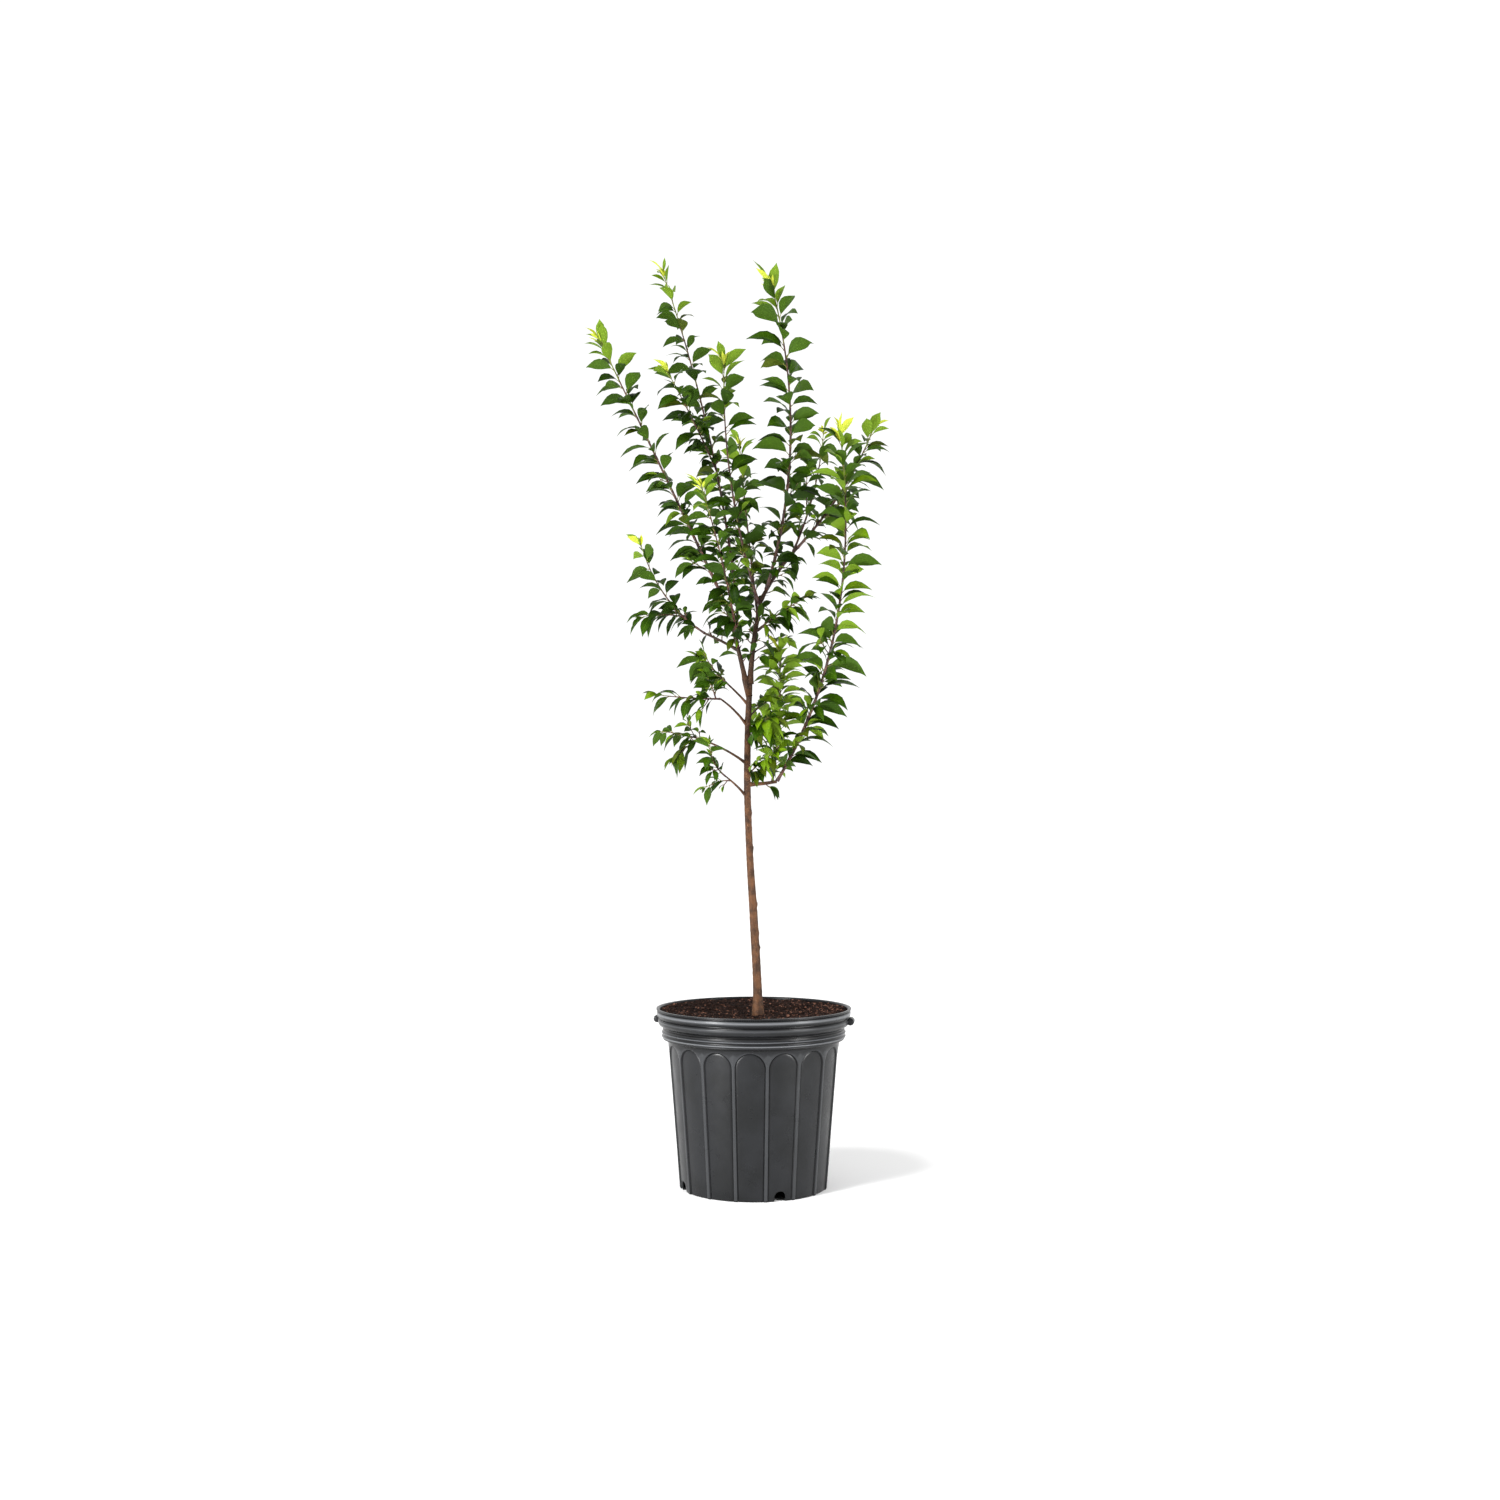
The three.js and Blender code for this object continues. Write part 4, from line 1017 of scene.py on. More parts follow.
def soil_relief(x, y):
    """Low waves in eight directions: each adds its own height times the sine of its own distance."""
    numbers = np.random.default_rng(SOIL_SEED)
    height = np.zeros_like(x)
    for wave in range(SOIL_WAVES):
        angle, phase = numbers.uniform(0, TAU, 2)
        length = mixed(*SOIL_WAVE_LENGTHS, wave / (SOIL_WAVES - 1))
        along = x * math.cos(angle) + y * math.sin(angle)
        height = height + (0.012 * length + 0.2) * np.sin(TAU * along / length + phase)
    return height


def soil_height(x, y):
    """Level near the trunk, rising evenly to the wall, plus the relief."""
    from_middle = np.hypot(x, y)
    rise = np.clip((from_middle - SOIL_FLAT_RADIUS) / (SOIL_RADIUS - SOIL_FLAT_RADIUS), 0, 1)
    return mixed(SOIL_LEVEL - 1, SOIL_EDGE_LEVEL + 1, rise) + SOIL_RELIEF * soil_relief(x, y)


def make_soil():
    """A turned body up the inside of the wall, drawn in behind the drain notches, with its top
    following the soil's height."""
    angle = TAU * np.arange(SOIL_SIDES) / SOIL_SIDES
    wall = np.array(SOIL_OUTLINE)
    radius = np.concatenate([wall[:, 0], SOIL_TOP_RADII])[:, None]
    x, y = radius * np.cos(angle), radius * np.sin(angle)
    z = np.concatenate([np.repeat(wall[:, 1:], SOIL_SIDES, 1), soil_height(x, y)[len(wall):]])
    rings = np.stack([x, y, z], -1)[None]
    skin = capped(rings, UP[None] * SOIL_FLOOR, UP[None] * soil_height(0.0, 0.0))
    soil = new_piece("potting_mix", skin, mottled_finish("potting_mix"))
    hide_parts("soil")


def chips(count, lean, seed):
    """Loose chips: two rings of five corners between two points, each scattered, tilted and laid on the
    soil. A place is the square root of an even number times the reach, at an even angle less the lean
    times its sine."""
    numbers = np.random.default_rng(seed)
    reach = CHIP_REACH * np.sqrt(numbers.uniform(CHIP_NEAREST, 1, count))
    angle = numbers.uniform(0, TAU, count)
    angle = angle - lean * np.sin(angle)
    x, y = reach * np.cos(angle), reach * np.sin(angle)
    long = np.minimum(numbers.gamma(*CHIP_LENGTH_DRAW, count) + CHIP_SHORTEST, CHIP_LONGEST)
    wide = long * numbers.uniform(*CHIP_WIDTHS, count)
    thick = np.minimum(long * numbers.uniform(*CHIP_THICKNESSES, count), CHIP_THICKEST)
    yaw = numbers.uniform(0, TAU, count)
    pitch = numbers.normal(0, CHIP_TILT, count)
    roll = numbers.normal(0, CHIP_ROLL, count)
    ahead = np.stack([np.cos(yaw) * np.cos(pitch), np.sin(yaw) * np.cos(pitch), np.sin(pitch)], -1)
    level = unit(np.cross(UP, ahead))
    lifted = np.cross(ahead, level)
    side = level * np.cos(roll)[:, None] + lifted * np.sin(roll)[:, None]
    face = np.cross(ahead, side)
    uneven = numbers.uniform(*CHIP_UNEVENNESS, (count, 2, 5))
    spokes = spokes_round(side * wide[:, None] / 2, face * thick[:, None] / 2, 5)
    z = soil_height(x, y) + thick * numbers.uniform(*CHIP_LIFTS, count)
    place = np.stack([x, y, z], -1)
    along = ahead[:, None] * (long[:, None] * CHIP_RINGS)[..., None]
    rings = place[:, None, None] + along[:, :, None] + spokes[:, None] * uneven[..., None]
    tips = ahead * (long / 2)[:, None]
    return capped(rings, place - tips, place + tips)


def make_chips():
    for i, (name, (count, lean)) in enumerate(CHIP_COUNTS.items()):
        skin = chips(count, lean, CHIP_SEED + i)
        new_piece(name, skin, mottled_finish(name), crease=CHIP_CREASE)


# Limbs

class Limb:
    """A limb whose middle line is a Bezier curve, and whose radius goes evenly from base to tip.

    lead is the point inside its carrier that the bark starts from. flare adds to the radius by its own
    size times exp(-distance / flare height). onward is the radius of the limb that carries on from its
    tip, if one does.
    """

    def __init__(self, points, radii, lead=None, flare=0.0, flare_height=1.0):
        self.points = [np.array(point, float) for point in points]
        self.radii = radii
        self.lead = self.points[0] if lead is None else lead
        self.flare = flare
        self.flare_height = flare_height
        self.onward = None
        self.leaf_shares = []
        steps = self.at(np.linspace(0, 1, 201))
        self.length = float(np.linalg.norm(np.diff(steps, axis=0), axis=1).sum())

    def _mixed_down(self, share, left):
        """Mixes neighbouring points by the share until so many are left."""
        share = np.asarray(share, float)[..., None]
        line = self.points
        while len(line) > left:
            line = [a + (b - a) * share for a, b in zip(line, line[1:])]
        return line

    def at(self, share):
        return self._mixed_down(share, 1)[0]

    def heading(self, share):
        a, b = self._mixed_down(share, 2)
        return unit(b - a)

    def radius(self, share):
        share = np.asarray(share, float)
        flare = self.flare * np.exp(-share * self.length / self.flare_height)
        return mixed(*self.radii, share) + flare

    def way_out(self, share, azimuth, rise):
        """A heading that leaves the limb's own at a rise, towards an azimuth round it."""
        heading = self.heading(share)
        across = unit(np.cross(BACK, heading))
        outward = across * math.cos(azimuth) + np.cross(heading, across) * math.sin(azimuth)
        return heading * math.cos(rise) + outward * math.sin(rise)


def from_front(tip):
    """A point of the front elevation in its place: what lies further back is larger than it looks."""
    across, depth, height = tip
    scale = 1 + depth / EYE_DISTANCE
    return np.array([across * scale, depth, EYE_HEIGHT + (height - EYE_HEIGHT) * scale])


def share_at_height(limb, height):
    """The share at which a limb reaches a height, by halving."""
    low, high = 0.0, 1.0
    for _ in range(40):
        middle = (low + high) / 2
        low, high = (middle, high) if limb.at(middle)[2] < height else (low, middle)
    return low


def on_carrier(carrier, at, tip, bow, radius):
    """The point on the carrier's middle line, and the curve from its surface or tip to the limb's tip.

    The curve's middle point is the mean of its ends plus twice the bow.
    """
    share = share_at_height(carrier, at) if at > 1 else at
    root, tangent, end = carrier.at(share), carrier.heading(share), from_front(tip)
    control = (root + end) / 2 + 2 * np.array(bow)
    heading = unit(control - root)
    cosine = abs(float(heading @ tangent))
    sine = math.sqrt(1 - cosine * cosine)
    beyond = (GAP + radius * sine) / cosine
    aside = (float(carrier.radius(share)) + GAP + radius * cosine) / sine
    start = root + heading * (beyond if share == 1 else aside)
    return root, [start, control, end]


def grow_limbs():
    trunk = Limb(TRUNK_POINTS, TRUNK_RADII, flare=TRUNK_FLARE, flare_height=TRUNK_FLARE_HEIGHT)
    limbs = {"trunk": trunk}
    for name, bough in BOUGHS.items():
        carrier = limbs[bough.on]
        lead, points = on_carrier(carrier, bough.at, bough.tip, bough.bow, bough.radii[0])
        limbs[name] = Limb(points, bough.radii, lead)
        if bough.at == 1:
            carrier.onward = bough.radii[0]
    return limbs


def grow_stems(limbs):
    """Every mass's stems. A side stem starts on the middle line of the stem that it forks from."""
    stems = {}
    for name, mass in MASSES.items():
        own = []
        for i, stem in enumerate(mass.stems):
            carrier = own[0] if i else limbs[mass.on]
            lead, points = on_carrier(carrier, stem.at, stem.tip, stem.bow, stem.radius * STEM_STOUTNESS)
            if i:
                points[0] = carrier.at(stem.at)
            own.append(Limb(points, (stem.radius, stem.radius * (1 - STEM_TAPER)), lead))
            if not i and stem.at == 1:
                carrier.onward = stem.radius
        stems[name] = own
    return stems


# Leaves and twigs

Leaf = namedtuple("Leaf", "root heading bend roll size girth young stem_heading")
Grown = namedtuple("Grown", "leaf mass kind narrow fold phase")


def leaf_point(leaf, share, offset):
    """A point on a leaf, with its heading, its side and the way that its upper face looks.

    The midrib is an arc: size sin(turn)/bend along the heading and size (1 - cos(turn))/bend along the
    fall, where turn is the bend times the share.
    """
    hinge = unit(np.cross(UP, leaf.heading))
    fall = np.cross(hinge, leaf.heading)
    turn = leaf.bend * share
    forward = leaf.size * np.sin(turn) / leaf.bend
    down = leaf.size * (1 - np.cos(turn)) / leaf.bend
    heading = leaf.heading * np.cos(turn)[..., None] + fall * np.sin(turn)[..., None]
    upper = np.cross(heading, hinge)
    roll = np.asarray(leaf.roll)[..., None]
    side = hinge * np.cos(roll) + upper * np.sin(roll)
    point = leaf.root + leaf.heading * forward[..., None] + fall * down[..., None]
    return point + side * np.asarray(offset)[..., None], heading, side, np.cross(heading, side)


def leaf_balls(leaf):
    centres = leaf_point(leaf, BALL_PLACES, BALL_OFFSETS * leaf.size * BALL_WIDTH)[0]
    return centres, np.full(len(centres), leaf.size * BALL_RADIUS)


def limb_balls(limb):
    share = np.linspace(0, 1, math.ceil(limb.length / LIMB_BALL_STEP) + 1)
    return limb.at(share), limb.radius(share) + LIMB_BALL_MARGIN


class OwnSpace:
    """Balls with an owner each; those of different owners may not touch."""

    def __init__(self):
        self.centres = np.zeros((0, 3))
        self.radii = np.zeros(0)
        self.owners = np.zeros(0, int)
        self.names = {}

    def keep(self, owner, balls):
        number = self.names.setdefault(owner, len(self.names))
        self.centres = np.concatenate([self.centres, balls[0]])
        self.radii = np.concatenate([self.radii, balls[1]])
        self.owners = np.concatenate([self.owners, np.full(len(balls[1]), number)])

    def is_free(self, owner, balls):
        others = self.owners != self.names.setdefault(owner, len(self.names))
        apart = np.linalg.norm(self.centres[others][None] - balls[0][:, None], axis=-1)
        return not np.any(apart < self.radii[others][None] + balls[1][:, None])


def grow_leaf(limb, share, azimuth, size, young, draw):
    """A leaf leaves its stem at a rise from the stem's heading, towards its own azimuth round it."""
    rise = math.radians(mixed(LEAF_RISE, TIP_RISE, young) + RISE_SCATTER * (draw() - 0.5))
    heading = limb.way_out(share, azimuth, rise)
    droop = LEAF_BEND * (1 - TIP_STIFFNESS * young) + BEND_SCATTER * (draw() - 0.5)
    to_ground = math.acos(np.clip(-heading[2], -1, 1))
    bend = min(math.radians(droop), MOST_FALL * to_ground)
    roll = math.radians(ROLL_SCATTER * (draw() - 0.5))
    girth = float(limb.radius(share))
    return Leaf(limb.at(share), heading, bend, roll, size, girth, young, limb.heading(share))


def leaves_on(limb, count, full_size, first_leaf, draw):
    """Leaves up a limb in a spiral: small at its foot, full grown along it, small and upright at its
    tip. Each comes with its share of the limb."""
    phase = 360 * draw()
    grown = []
    for i in range(count):
        share = first_leaf + (1 - first_leaf) * (i + 0.6) / count
        young = min(max((share - YOUNG_FROM) / (1 - YOUNG_FROM), 0), 1)
        at_foot = mixed(SMALLEST_AT_BASE, 1, min(1, share / FULL_SIZE_FROM))
        azimuth = math.radians(phase + SPIRAL_TURN * i + TURN_SCATTER * (draw() - 0.5))
        scatter = 1 + SIZE_SCATTER * (draw() - 0.5)
        size = full_size * at_foot * mixed(1, TIP_SIZE, young) * scatter
        grown.append((share, grow_leaf(limb, share, azimuth, size, young, draw)))
    return grown


def twig_at(limb, share, azimuth, rise, length, radius, end_share):
    """A short twig that leaves a stem at a rise, and turns up a little towards its tip."""
    root, heading = limb.at(share), limb.way_out(share, azimuth, rise)
    tip = root + heading * 0.92 * length + UP * 0.2 * length
    return Limb([root, root + heading * length / 2, tip], (radius, radius * end_share))


def twigs_on(limb, count, draw):
    """Twigs in a spiral up the lower part of a limb."""
    phase = 360 * draw()
    twigs = []
    for i in range(count):
        share = mixed(*TWIG_SPAN, (i + draw()) / count)
        azimuth = math.radians(phase + SPIRAL_TURN * i)
        rise = math.radians(TWIG_RISE + RISE_SCATTER * (draw() - 0.5))
        length = TWIG_LENGTH * (0.75 + 0.5 * draw())
        radius = min(TWIG_RADIUS, float(limb.radius(share)))
        twigs.append(twig_at(limb, share, azimuth, rise, length, radius, TWIG_TAPER))
    return twigs


def spurs_on(limb, kind, span, leaf, draw):
    """Spurs in a spiral up a span of a limb, each with its few leaves, whose size is a share of leaf."""
    count = round(limb.length * (span[1] - span[0]) / kind.step)
    phase = 360 * draw()
    for i in range(count):
        share = mixed(*span, (i + draw()) / count)
        azimuth = math.radians(phase + SPIRAL_TURN * i + SPUR_SCATTER * draw())
        length = mixed(*kind.lengths, draw())
        spur = twig_at(limb, share, azimuth, math.radians(SPUR_RISE), length, kind.radius, SPUR_TAPER)
        size = leaf * mixed(*kind.sizes, draw())
        yield spur, leaves_on(spur, SPUR_LEAVES, size, SPUR_FIRST_LEAF, draw)


def leaf_kind(young, share, bright, draw):
    """Young leaves are yellow-green and fresh green. The rest grow lighter up the stem, more so in a
    bright mass, whose extra light green is partly painted light where the mass is lit from above: the
    tone is half the share, half an even number and a part of the brightness."""
    number = draw()
    if young > YOUNGEST:
        return "young" if number < LIGHTER_SHARE else "fresh"
    if young > YOUNG:
        return "fresh" if number < LIGHTER_SHARE else "green"
    if number > OLIVE_FROM:
        return "olive"
    # The brightness part is partly painted light for a mass lit from above
    tone = 0.5 * share + 0.5 * number + BRIGHT_WEIGHT * bright
    if tone > FRESH_TONE:
        return "fresh"
    return "green" if tone > GREEN_TONE else "deep"


class Crown:
    """All that grows: the leaves that are kept, and the twigs that carry some of them.

    A mass's twigs and leaves count as its own, or as the owner's where one is given, and what would
    touch another owner's balls is left out. Every leaf draws its look, kept or not.
    """

    def __init__(self, limbs, stems):
        self.leaves = []
        self.limbs = limbs
        self.stems = stems
        self.twigs = {name: [] for name in stems}
        self.draw_look = seeded_numbers(LOOK_SEED)
        self.space = OwnSpace()
        for name, limb in limbs.items():
            self.space.keep(name, limb_balls(limb))
        for name, own in stems.items():
            for limb in own:
                self.space.keep(name, limb_balls(limb))

    def keep_leaves(self, name, limb, grown, kind=None, owner=None):
        mass = MASSES[name]
        owner = owner or name
        for share, leaf in grown:
            young = leaf.young if limb.length > LONG_SHOOT else 0
            chosen = leaf_kind(young, share, mass.bright, self.draw_look)
            fold = mixed(*BLADE_FOLDS, self.draw_look()) + YOUNG_FOLD * leaf.young
            phase = TAU * self.draw_look()
            balls = leaf_balls(leaf)
            if not self.space.is_free(owner, balls):
                continue
            self.space.keep(owner, balls)
            limb.leaf_shares.append(share)
            look = (kind or chosen, mass.narrow, math.radians(fold), phase)
            self.leaves.append(Grown(leaf, name, *look))

    def keep_twig(self, name, twig, grown, kind=None, owner=None):
        balls = limb_balls(twig)
        if not self.space.is_free(owner or name, balls):
            return
        self.space.keep(owner or name, balls)
        self.twigs[name].append(twig)
        self.keep_leaves(name, twig, grown, kind, owner)

    def grow_mass(self, name, draw):
        """The leaves of each stem, and its twigs with theirs."""
        for stem, limb in zip(MASSES[name].stems, self.stems[name]):
            grown = leaves_on(limb, stem.leaves, stem.leaf, FIRST_LEAF, draw)
            self.keep_leaves(name, limb, grown)
            for twig in twigs_on(limb, stem.twigs, draw):
                grown = leaves_on(twig, TWIG_LEAVES, TWIG_LEAF_SIZE * stem.leaf, TWIG_FIRST_LEAF, draw)
                self.keep_twig(name, twig, grown)

    def grow_finer(self, name, draw):
        """A second spiral of leaves and some spurs up each stem, then a rosette at its tip and at each
        long twig's."""
        for stem, limb in zip(MASSES[name].stems, self.stems[name]):
            count = round(stem.leaves * MASSES[name].dense)
            grown = leaves_on(limb, count, SECOND_SIZE * stem.leaf, FIRST_LEAF, draw)
            self.keep_leaves(name, limb, grown)
            for spur, leaves in spurs_on(limb, STEM_SPUR, STEM_SPUR_SPAN, stem.leaf, draw):
                self.keep_twig(name, spur, leaves)
            self.grow_rosette(name, limb, ROSETTE_SIZE * stem.leaf, ROSETTE_LEAVES, draw)
        size = TWIG_ROSETTE_SIZE * MASSES[name].stems[0].leaf
        for twig in self.twigs[name]:
            if twig.length > LONG_TWIG:
                self.grow_rosette(name, twig, size, TWIG_ROSETTE_LEAVES, draw)

    def grow_rosette(self, name, limb, size, count, draw):
        """Narrow leaves that stand up round a tip, the last ones smallest, and yellow on a long shoot."""
        phase = 360 * draw()
        grown = []
        for i in range(count):
            share = mixed(*ROSETTE_SPAN, i / (count - 1))
            azimuth = math.radians(phase + SPIRAL_TURN * i)
            length = size * mixed(*ROSETTE_SIZES, i / count) * (0.85 + 0.3 * draw())
            grown.append((share, grow_leaf(limb, share, azimuth, length, 1.0, draw)))
        self.keep_leaves(name, limb, grown, "young" if limb.length > LONG_SHOOT else "green")

    def grow_on_bough(self, bough, limb, draw):
        """Spurs up a bough, which keep clear of everything but the bough itself."""
        name, *span = BOUGH_SPURS[bough]
        for spur, leaves in spurs_on(limb, BOUGH_SPUR, span, BOUGH_LEAF, draw):
            kind = "deep" if draw() < BOUGH_DEEP_SHARE else "green"
            self.keep_twig(name, spur, leaves, kind, bough)

    def grow(self):
        for i, name in enumerate(MASSES):
            self.grow_mass(name, seeded_numbers(SEED + i))
        for i, name in enumerate(MASSES):
            self.grow_finer(name, seeded_numbers(FINER_SEED + i))
        for i, name in enumerate(BOUGH_SPURS):
            self.grow_on_bough(name, self.limbs[name], seeded_numbers(BOUGH_SEED + i))


def gathered(grown, part):
    """One value of each leaf, as an array."""
    return np.array([getattr(g.leaf, part) for g in grown])


def arcs_of(grown, size):
    """The arcs of many leaves as one, each of its values a column."""
    values = [gathered(grown, part)[:, None] for part in ("root", "heading", "bend", "roll")]
    return Leaf(*values, size[:, None], None, None, None)


def blade_rings(grown, size):
    """Leaf blades as closed skins: five points over the upper face and one under it at each station.

    Half the width is size x narrow / 2 x sin(pi t^0.98), drawn in towards the tip, and two thirds of
    that in the very youngest. The tip of an older leaf hangs by 0.17 size x t^2.2 more. The two halves
    rise from the midrib by the fold, and ripple by a sine along the blade.
    """
    young = gathered(grown, "young")
    narrow = np.array([g.narrow for g in grown]) * np.where(young > 0.9, YOUNGEST_NARROWING, 1.0)
    t = BLADE_STATIONS
    share = mixed(STALK_SHARE, 1, t)
    middle, _, side, normal = leaf_point(arcs_of(grown, size), share, np.zeros((1, 1)))
    outline = np.sin(math.pi * t**0.98).clip(0) * (1 - 0.35 * eased(t, 0.68, 0.95))
    droop = TIP_HANG * (size * (1 - young))[:, None] * t**2.2
    middle = middle - UP * droop[..., None]
    half = (size * narrow / 2)[:, None] * outline
    fold = np.array([g.fold for g in grown])[:, None] * (1 - 0.5 * eased(t, 0.5, 1.0))
    phase = np.array([g.phase for g in grown])[:, None]
    points = []
    for across in BLADE_ACROSS:
        out = abs(across)
        ripple = BLADE_RIPPLE * out**2 * np.sin(2.0 * TAU * t + phase + across)
        lift = half * (out * np.sin(fold) + BLADE_CUP * out * (1 - out) + ripple)
        aside = across * half * np.cos(fold)
        points.append(middle + side * aside[..., None] + normal * lift[..., None])
    below = BLADE_THICKNESS * np.sqrt(outline) + 0 * half
    points.append(middle - normal * below[..., None])
    rings = np.stack(points, 2)
    return rings[:, 1:-1], middle[:, 0], middle[:, -1]


def blade_uvs(count):
    """u runs from 1 to 0 over the upper face's four strips, and from 1 to 2 over the two under it."""
    starts = np.array([1, 0.75, 0.5, 0.25, 1.0, 1.5])
    ends = np.array([0.75, 0.5, 0.25, 0, 1.5, 2.0])
    middle = (starts + ends) / 2
    t = BLADE_STATIONS[1:-1]
    low, high = t[:-1, None], t[1:, None]
    first, last = t[0], t[-1]

    def for_corners(*corners):
        """The u and v of each corner of a face, face after face."""
        return np.stack([np.stack(np.broadcast_arrays(*uv), -1) for uv in corners], -2).reshape(-1, 2)

    quads = for_corners((starts, low), (ends, low), (ends, high), (starts, high))
    foot = for_corners((middle, 0.0), (ends, first), (starts, first))
    tip = for_corners((middle, 1.0), (starts, last), (ends, last))
    triangles = np.concatenate([foot, tip])
    return np.concatenate([np.tile(quads, (count, 1)), np.tile(triangles, (count, 1))])


def fitted_sizes(grown, size):
    """Each blade's size, made a little smaller until the blade lies inside the model's own box."""
    low = np.array(cad_box[0]) / MM + BOX_MARGIN
    high = np.array(cad_box[1]) / MM - BOX_MARGIN
    for _ in range(14):
        rings, _, tips = blade_rings(grown, size)
        spots = np.concatenate([rings.reshape(len(grown), -1, 3), tips[:, None]], 1)
        outside = np.any((spots < low) | (spots > high), axis=(1, 2))
        size = np.where(outside, size * 0.95, size)
    return size


def stalks(grown, size):
    """Leaf stalks: five-sided tubes along the same arc as the blade, thickest at the foot."""
    middle, _, side, normal = leaf_point(arcs_of(grown, size), STALK_STATIONS, np.zeros((1, 1)))
    stout = np.clip(size / USUAL_LEAF, 0.45, 1.15)[:, None] * STALK_GIRTHS
    rings = middle[..., None, :] + spokes_round(side, normal, 5) * stout[..., None, None]
    return capped(rings, middle[:, 0], middle[:, -1])


def buds(grown):
    """Buds in the leaf axils: small pointed ovals that lean out from the stem."""
    tangent, heading = gathered(grown, "stem_heading"), gathered(grown, "heading")
    outward = unit(heading - tangent * (heading * tangent).sum(-1, keepdims=True))
    girth = gathered(grown, "girth")[:, None]
    axis = unit(0.8 * tangent + 0.6 * outward)
    side = unit(np.cross(tangent, outward))
    foot = gathered(grown, "root") + outward * girth * 0.75 + tangent * BUD_HEIGHT
    middle = foot[:, None] + axis[:, None] * BUD_PLACES[:, None]
    spokes = spokes_round(side, np.cross(axis, side), 5)
    rings = middle[:, :, None] + spokes[:, None] * BUD_GIRTHS[:, None, None]
    return capped(rings, foot, foot + axis * BUD_LENGTH)


# Bark and shoots

def bark_relief(along, turn, radius, numbers):
    """What the bark adds to the radius: sines that close round the limb, with their own phases. The fine
    ones and the rings, which sway as they go round, grow less on a thin limb."""
    phase = numbers.uniform(0, TAU, 6)

    def waves(rows, phases):
        parts = zip(rows, phases)
        return sum(high * np.sin(lobes * turn + climb * along + at) for (lobes, climb, high), at in parts)

    sway = RING_SWAY * np.sin(2 * turn + phase[4])
    fine = waves(FINE_WAVES, phase[2:4]) + RING_HEIGHT * np.sin(RING_CLIMB * along + sway + phase[5])
    return radius * waves(BROAD_WAVES, phase[:2]) + np.minimum(radius / FULL_RELIEF_RADIUS, 1) * fine


def limb_skin(limb, sides, numbers, scars=(), sunk=0.0):
    """A limb's bark from inside its carrier to its tip, as rings about 3 mm apart.

    A collar swells a bough's foot by 40% times exp(-distance / 9), and the last 24 mm ease to the radius
    of the limb that carries on. A scar adds a bump that falls off as exp(-d^2) both ways.
    """
    count = max(10, round(limb.length / BARK_STEP))
    share = np.linspace(0, 1, count)
    middle, heading, radius = limb.at(share), limb.heading(share), limb.radius(share)
    along = share * limb.length
    if sunk:
        lead = limb.points[0] - limb.heading(0.0) * sunk
    else:
        lead = limb.lead
        radius = radius * (1 + COLLAR_SWELL * np.exp(-along / COLLAR_LENGTH))
    if limb.onward is not None:
        radius = mixed(radius, limb.onward, eased(along, limb.length - ONWARD_LENGTH, limb.length))
    half_way = (lead + middle[0]) / 2
    middle = np.concatenate([[lead], [half_way], middle])
    heading = np.concatenate([heading[:1], heading[:1], heading])
    radius = np.concatenate([radius[:1], radius[:1], radius])
    along = np.concatenate([[-2.0, -1.0], along])
    turn = TAU * np.arange(sides) / sides
    girth = radius[:, None] + bark_relief(along[:, None], turn, radius[:, None], numbers)
    for height, angle in scars:
        place = share_at_height(limb, height) * limb.length
        up = (along[:, None] - place) / SCAR_LENGTH
        aside = ((turn - math.radians(angle) + math.pi) % TAU - math.pi) / SCAR_WIDTH
        girth = girth + SCAR_HEIGHT * np.exp(-up**2 - aside**2)
    return tubes(middle[None], heading[None], girth[None], sides)


def make_bark(limbs):
    numbers = np.random.default_rng(BARK_SEED)
    skins = [limb_skin(limbs["trunk"], TRUNK_SIDES, numbers, TRUNK_SCARS, TRUNK_SUNK)]
    skins += [limb_skin(limbs[name], BOUGH_SIDES, numbers) for name in BOUGHS]
    bark = new_piece("tree_bark", joined(skins), tree_bark())
    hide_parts(*limbs)


def shoot_skin(limb, low, high, count, sides, scale=1.0):
    """A stretch of a stem, which swells at each leaf by 18% times exp(-d^2), and at its foot by 35% times
    exp(-distance / 5). From the foot it reaches back inside its carrier."""
    share = np.linspace(low, high, count)
    along = share * limb.length
    radius = limb.radius(share) * scale
    shares = np.array(limb.leaf_shares or [0.5])
    bulge = np.exp(-((along[:, None] - shares * limb.length) / NODE_LENGTH) ** 2).sum(-1)
    radius = radius * (1 + NODE_SWELL * np.minimum(bulge, 1))
    radius = radius * (1 + FOOT_SWELL * np.exp(-along / FOOT_LENGTH))
    middle, heading = limb.at(share), limb.heading(share)
    if low == 0:
        middle = np.concatenate([[(limb.lead * 2 + middle[0]) / 3], middle])
        heading = np.concatenate([heading[:1], heading])
        radius = np.concatenate([radius[:1], radius])
    return tubes(middle[None], heading[None], radius[None], sides)


def make_shoots(crown):
    """Each stem is brown up to its green tip, which starts just inside the brown."""
    lower, upper = [], []
    for limb in [limb for own in crown.stems.values() for limb in own]:
        steps = limb.length / SHOOT_STEP
        brown, green = max(12, round(BROWN_TO * steps)), max(6, round((1 - GREEN_FROM) * steps))
        lower.append(shoot_skin(limb, 0, BROWN_TO, brown, SHOOT_SIDES))
        upper.append(shoot_skin(limb, GREEN_FROM, 1, green, TIP_SIDES, TIP_FIT))
    twigs = [twig for own in crown.twigs.values() for twig in own]
    lower += [shoot_skin(twig, 0, 1, TWIG_RINGS, TWIG_SIDES) for twig in twigs]
    shoots = new_piece("shoots", joined(lower), mottled_finish("shoot_bark"))
    new_piece("shoot_tips", joined(upper), mottled_finish("green_shoot"))
    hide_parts(*MASSES)


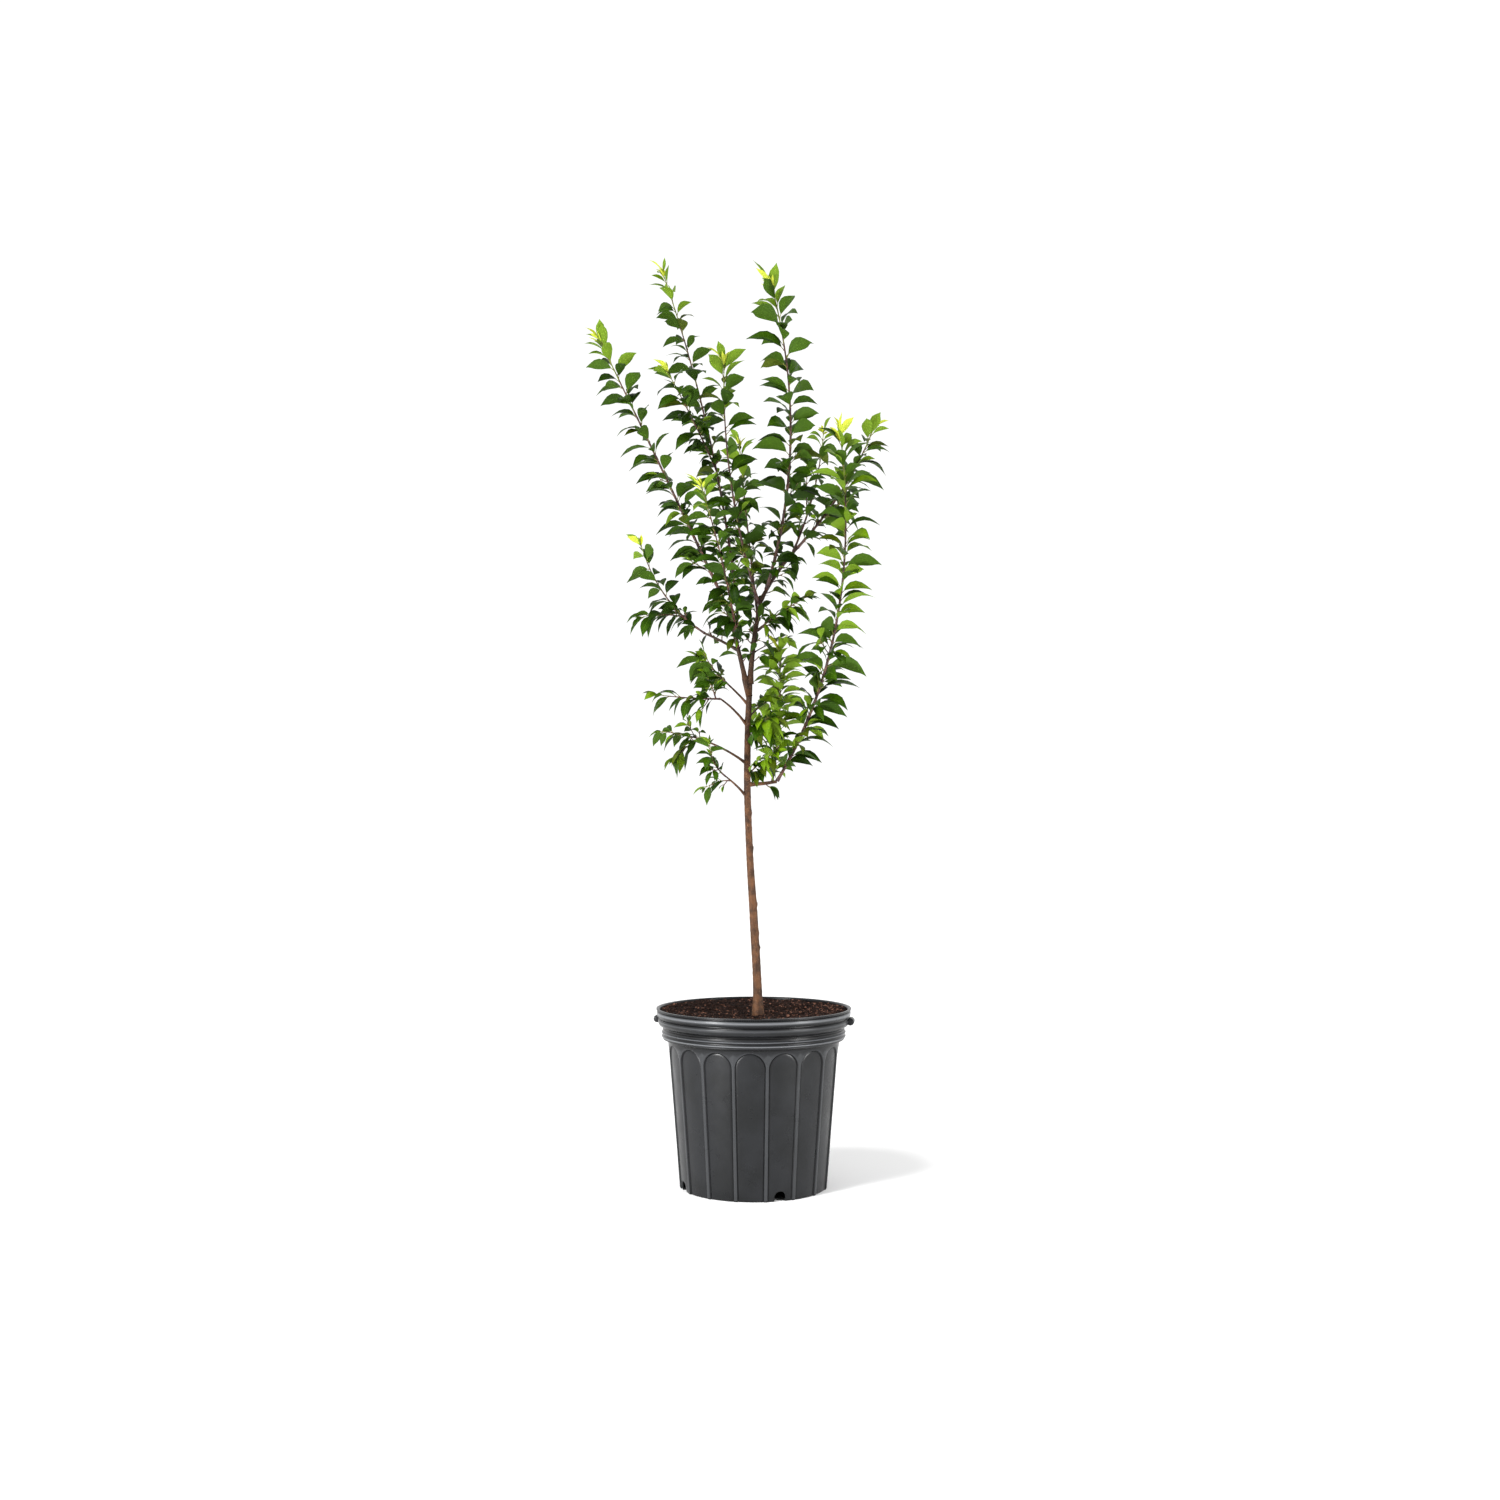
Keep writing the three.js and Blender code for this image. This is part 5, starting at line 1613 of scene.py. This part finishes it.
def make_leaves(crown):
    """One piece for each kind of leaf, then the stalks, and the buds of all but the young leaves."""
    for kind in LEAF_FINISHES:
        grown = [g for g in crown.leaves if g.kind == kind]
        size = fitted_sizes(grown, gathered(grown, "size"))
        skin, uvs = capped(*blade_rings(grown, size)), blade_uvs(len(grown))
        piece = new_piece("leaves_" + kind, skin, leaf_finish(kind), BLADE_CREASE, uvs)
        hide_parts(*sorted({g.mass for g in grown}))
    skin = stalks(crown.leaves, gathered(crown.leaves, "size"))
    new_piece("leaf_stalks", skin, mottled_finish("leaf_stalk"))
    skin = buds([g for g in crown.leaves if g.leaf.young < BUD_AGE])
    new_piece("leaf_buds", skin, mottled_finish("bud_scale"))


# Stage

def aim_at(holder, place, aim):
    """Stands something at a place, in metres, so that its -Z looks at the aim."""
    holder.location = place
    look = np.array(aim, float) - np.array(place, float)
    level = math.hypot(look[0], look[1])
    holder.rotation_euler = (math.atan2(level, -look[2]), 0.0, math.atan2(-look[0], look[1]))


def white_surround():
    """A white world that is dimmer overhead."""
    world = bpy.data.worlds.new("studio")
    bpy.context.scene.world = world
    world.use_nodes = True
    tree = world.node_tree
    way = tree.nodes.new("ShaderNodeTexCoord").outputs["Generated"]
    rise = add_node(tree, "ShaderNodeSeparateXYZ", Vector=way).outputs["Z"]
    strength = ranged(tree, rise, 0.5, 0.8, 1.08, 0.45)
    feed(tree, tree.nodes["Background"].inputs, Color=(1.0, 1.0, 1.0, 1.0), Strength=strength)


def pale_floor():
    """A wide square just under the ground's level."""
    signs = np.array([(-1, -1), (1, -1), (1, 1), (-1, 1)])
    corners = np.column_stack([signs * FLOOR_EDGE, np.full(4, -FLOOR_DROP)]) / MM
    floor = linked("floor", new_mesh("floor", corners, np.array([[0, 1, 2, 3]]), NO_TRIANGLES))
    finish, tree, shader, _ = new_finish("pale_floor", 0.2)
    feed(tree, shader.inputs, Base_Color=(0.93, 0.93, 0.93, 1.0), Roughness=0.8)
    floor.data.materials.append(finish)


def make_stage():
    white_surround()
    pale_floor()
    for name, own in LAMPS.items():
        lamp = bpy.data.lights.new(name, own.kind)
        lamp.energy = own.power
        for key, value in own.shape.items():
            setattr(lamp, key, value)
        aim_at(linked(name, lamp), own.place, own.aim)
    camera = linked("camera", bpy.data.cameras.new("camera"))
    camera.data.sensor_width = 36.0
    camera.data.lens = CAMERA_LENS
    aim_at(camera, CAMERA_PLACE, CAMERA_AIM)
    bpy.context.scene.camera = camera
    bpy.context.scene.view_settings.view_transform = "Standard"


make_stage()
make_pot()
make_soil()
make_chips()
wood = grow_limbs()
plum = Crown(wood, grow_stems(wood))
plum.grow()
make_bark(wood)
make_shoots(plum)
make_leaves(plum)
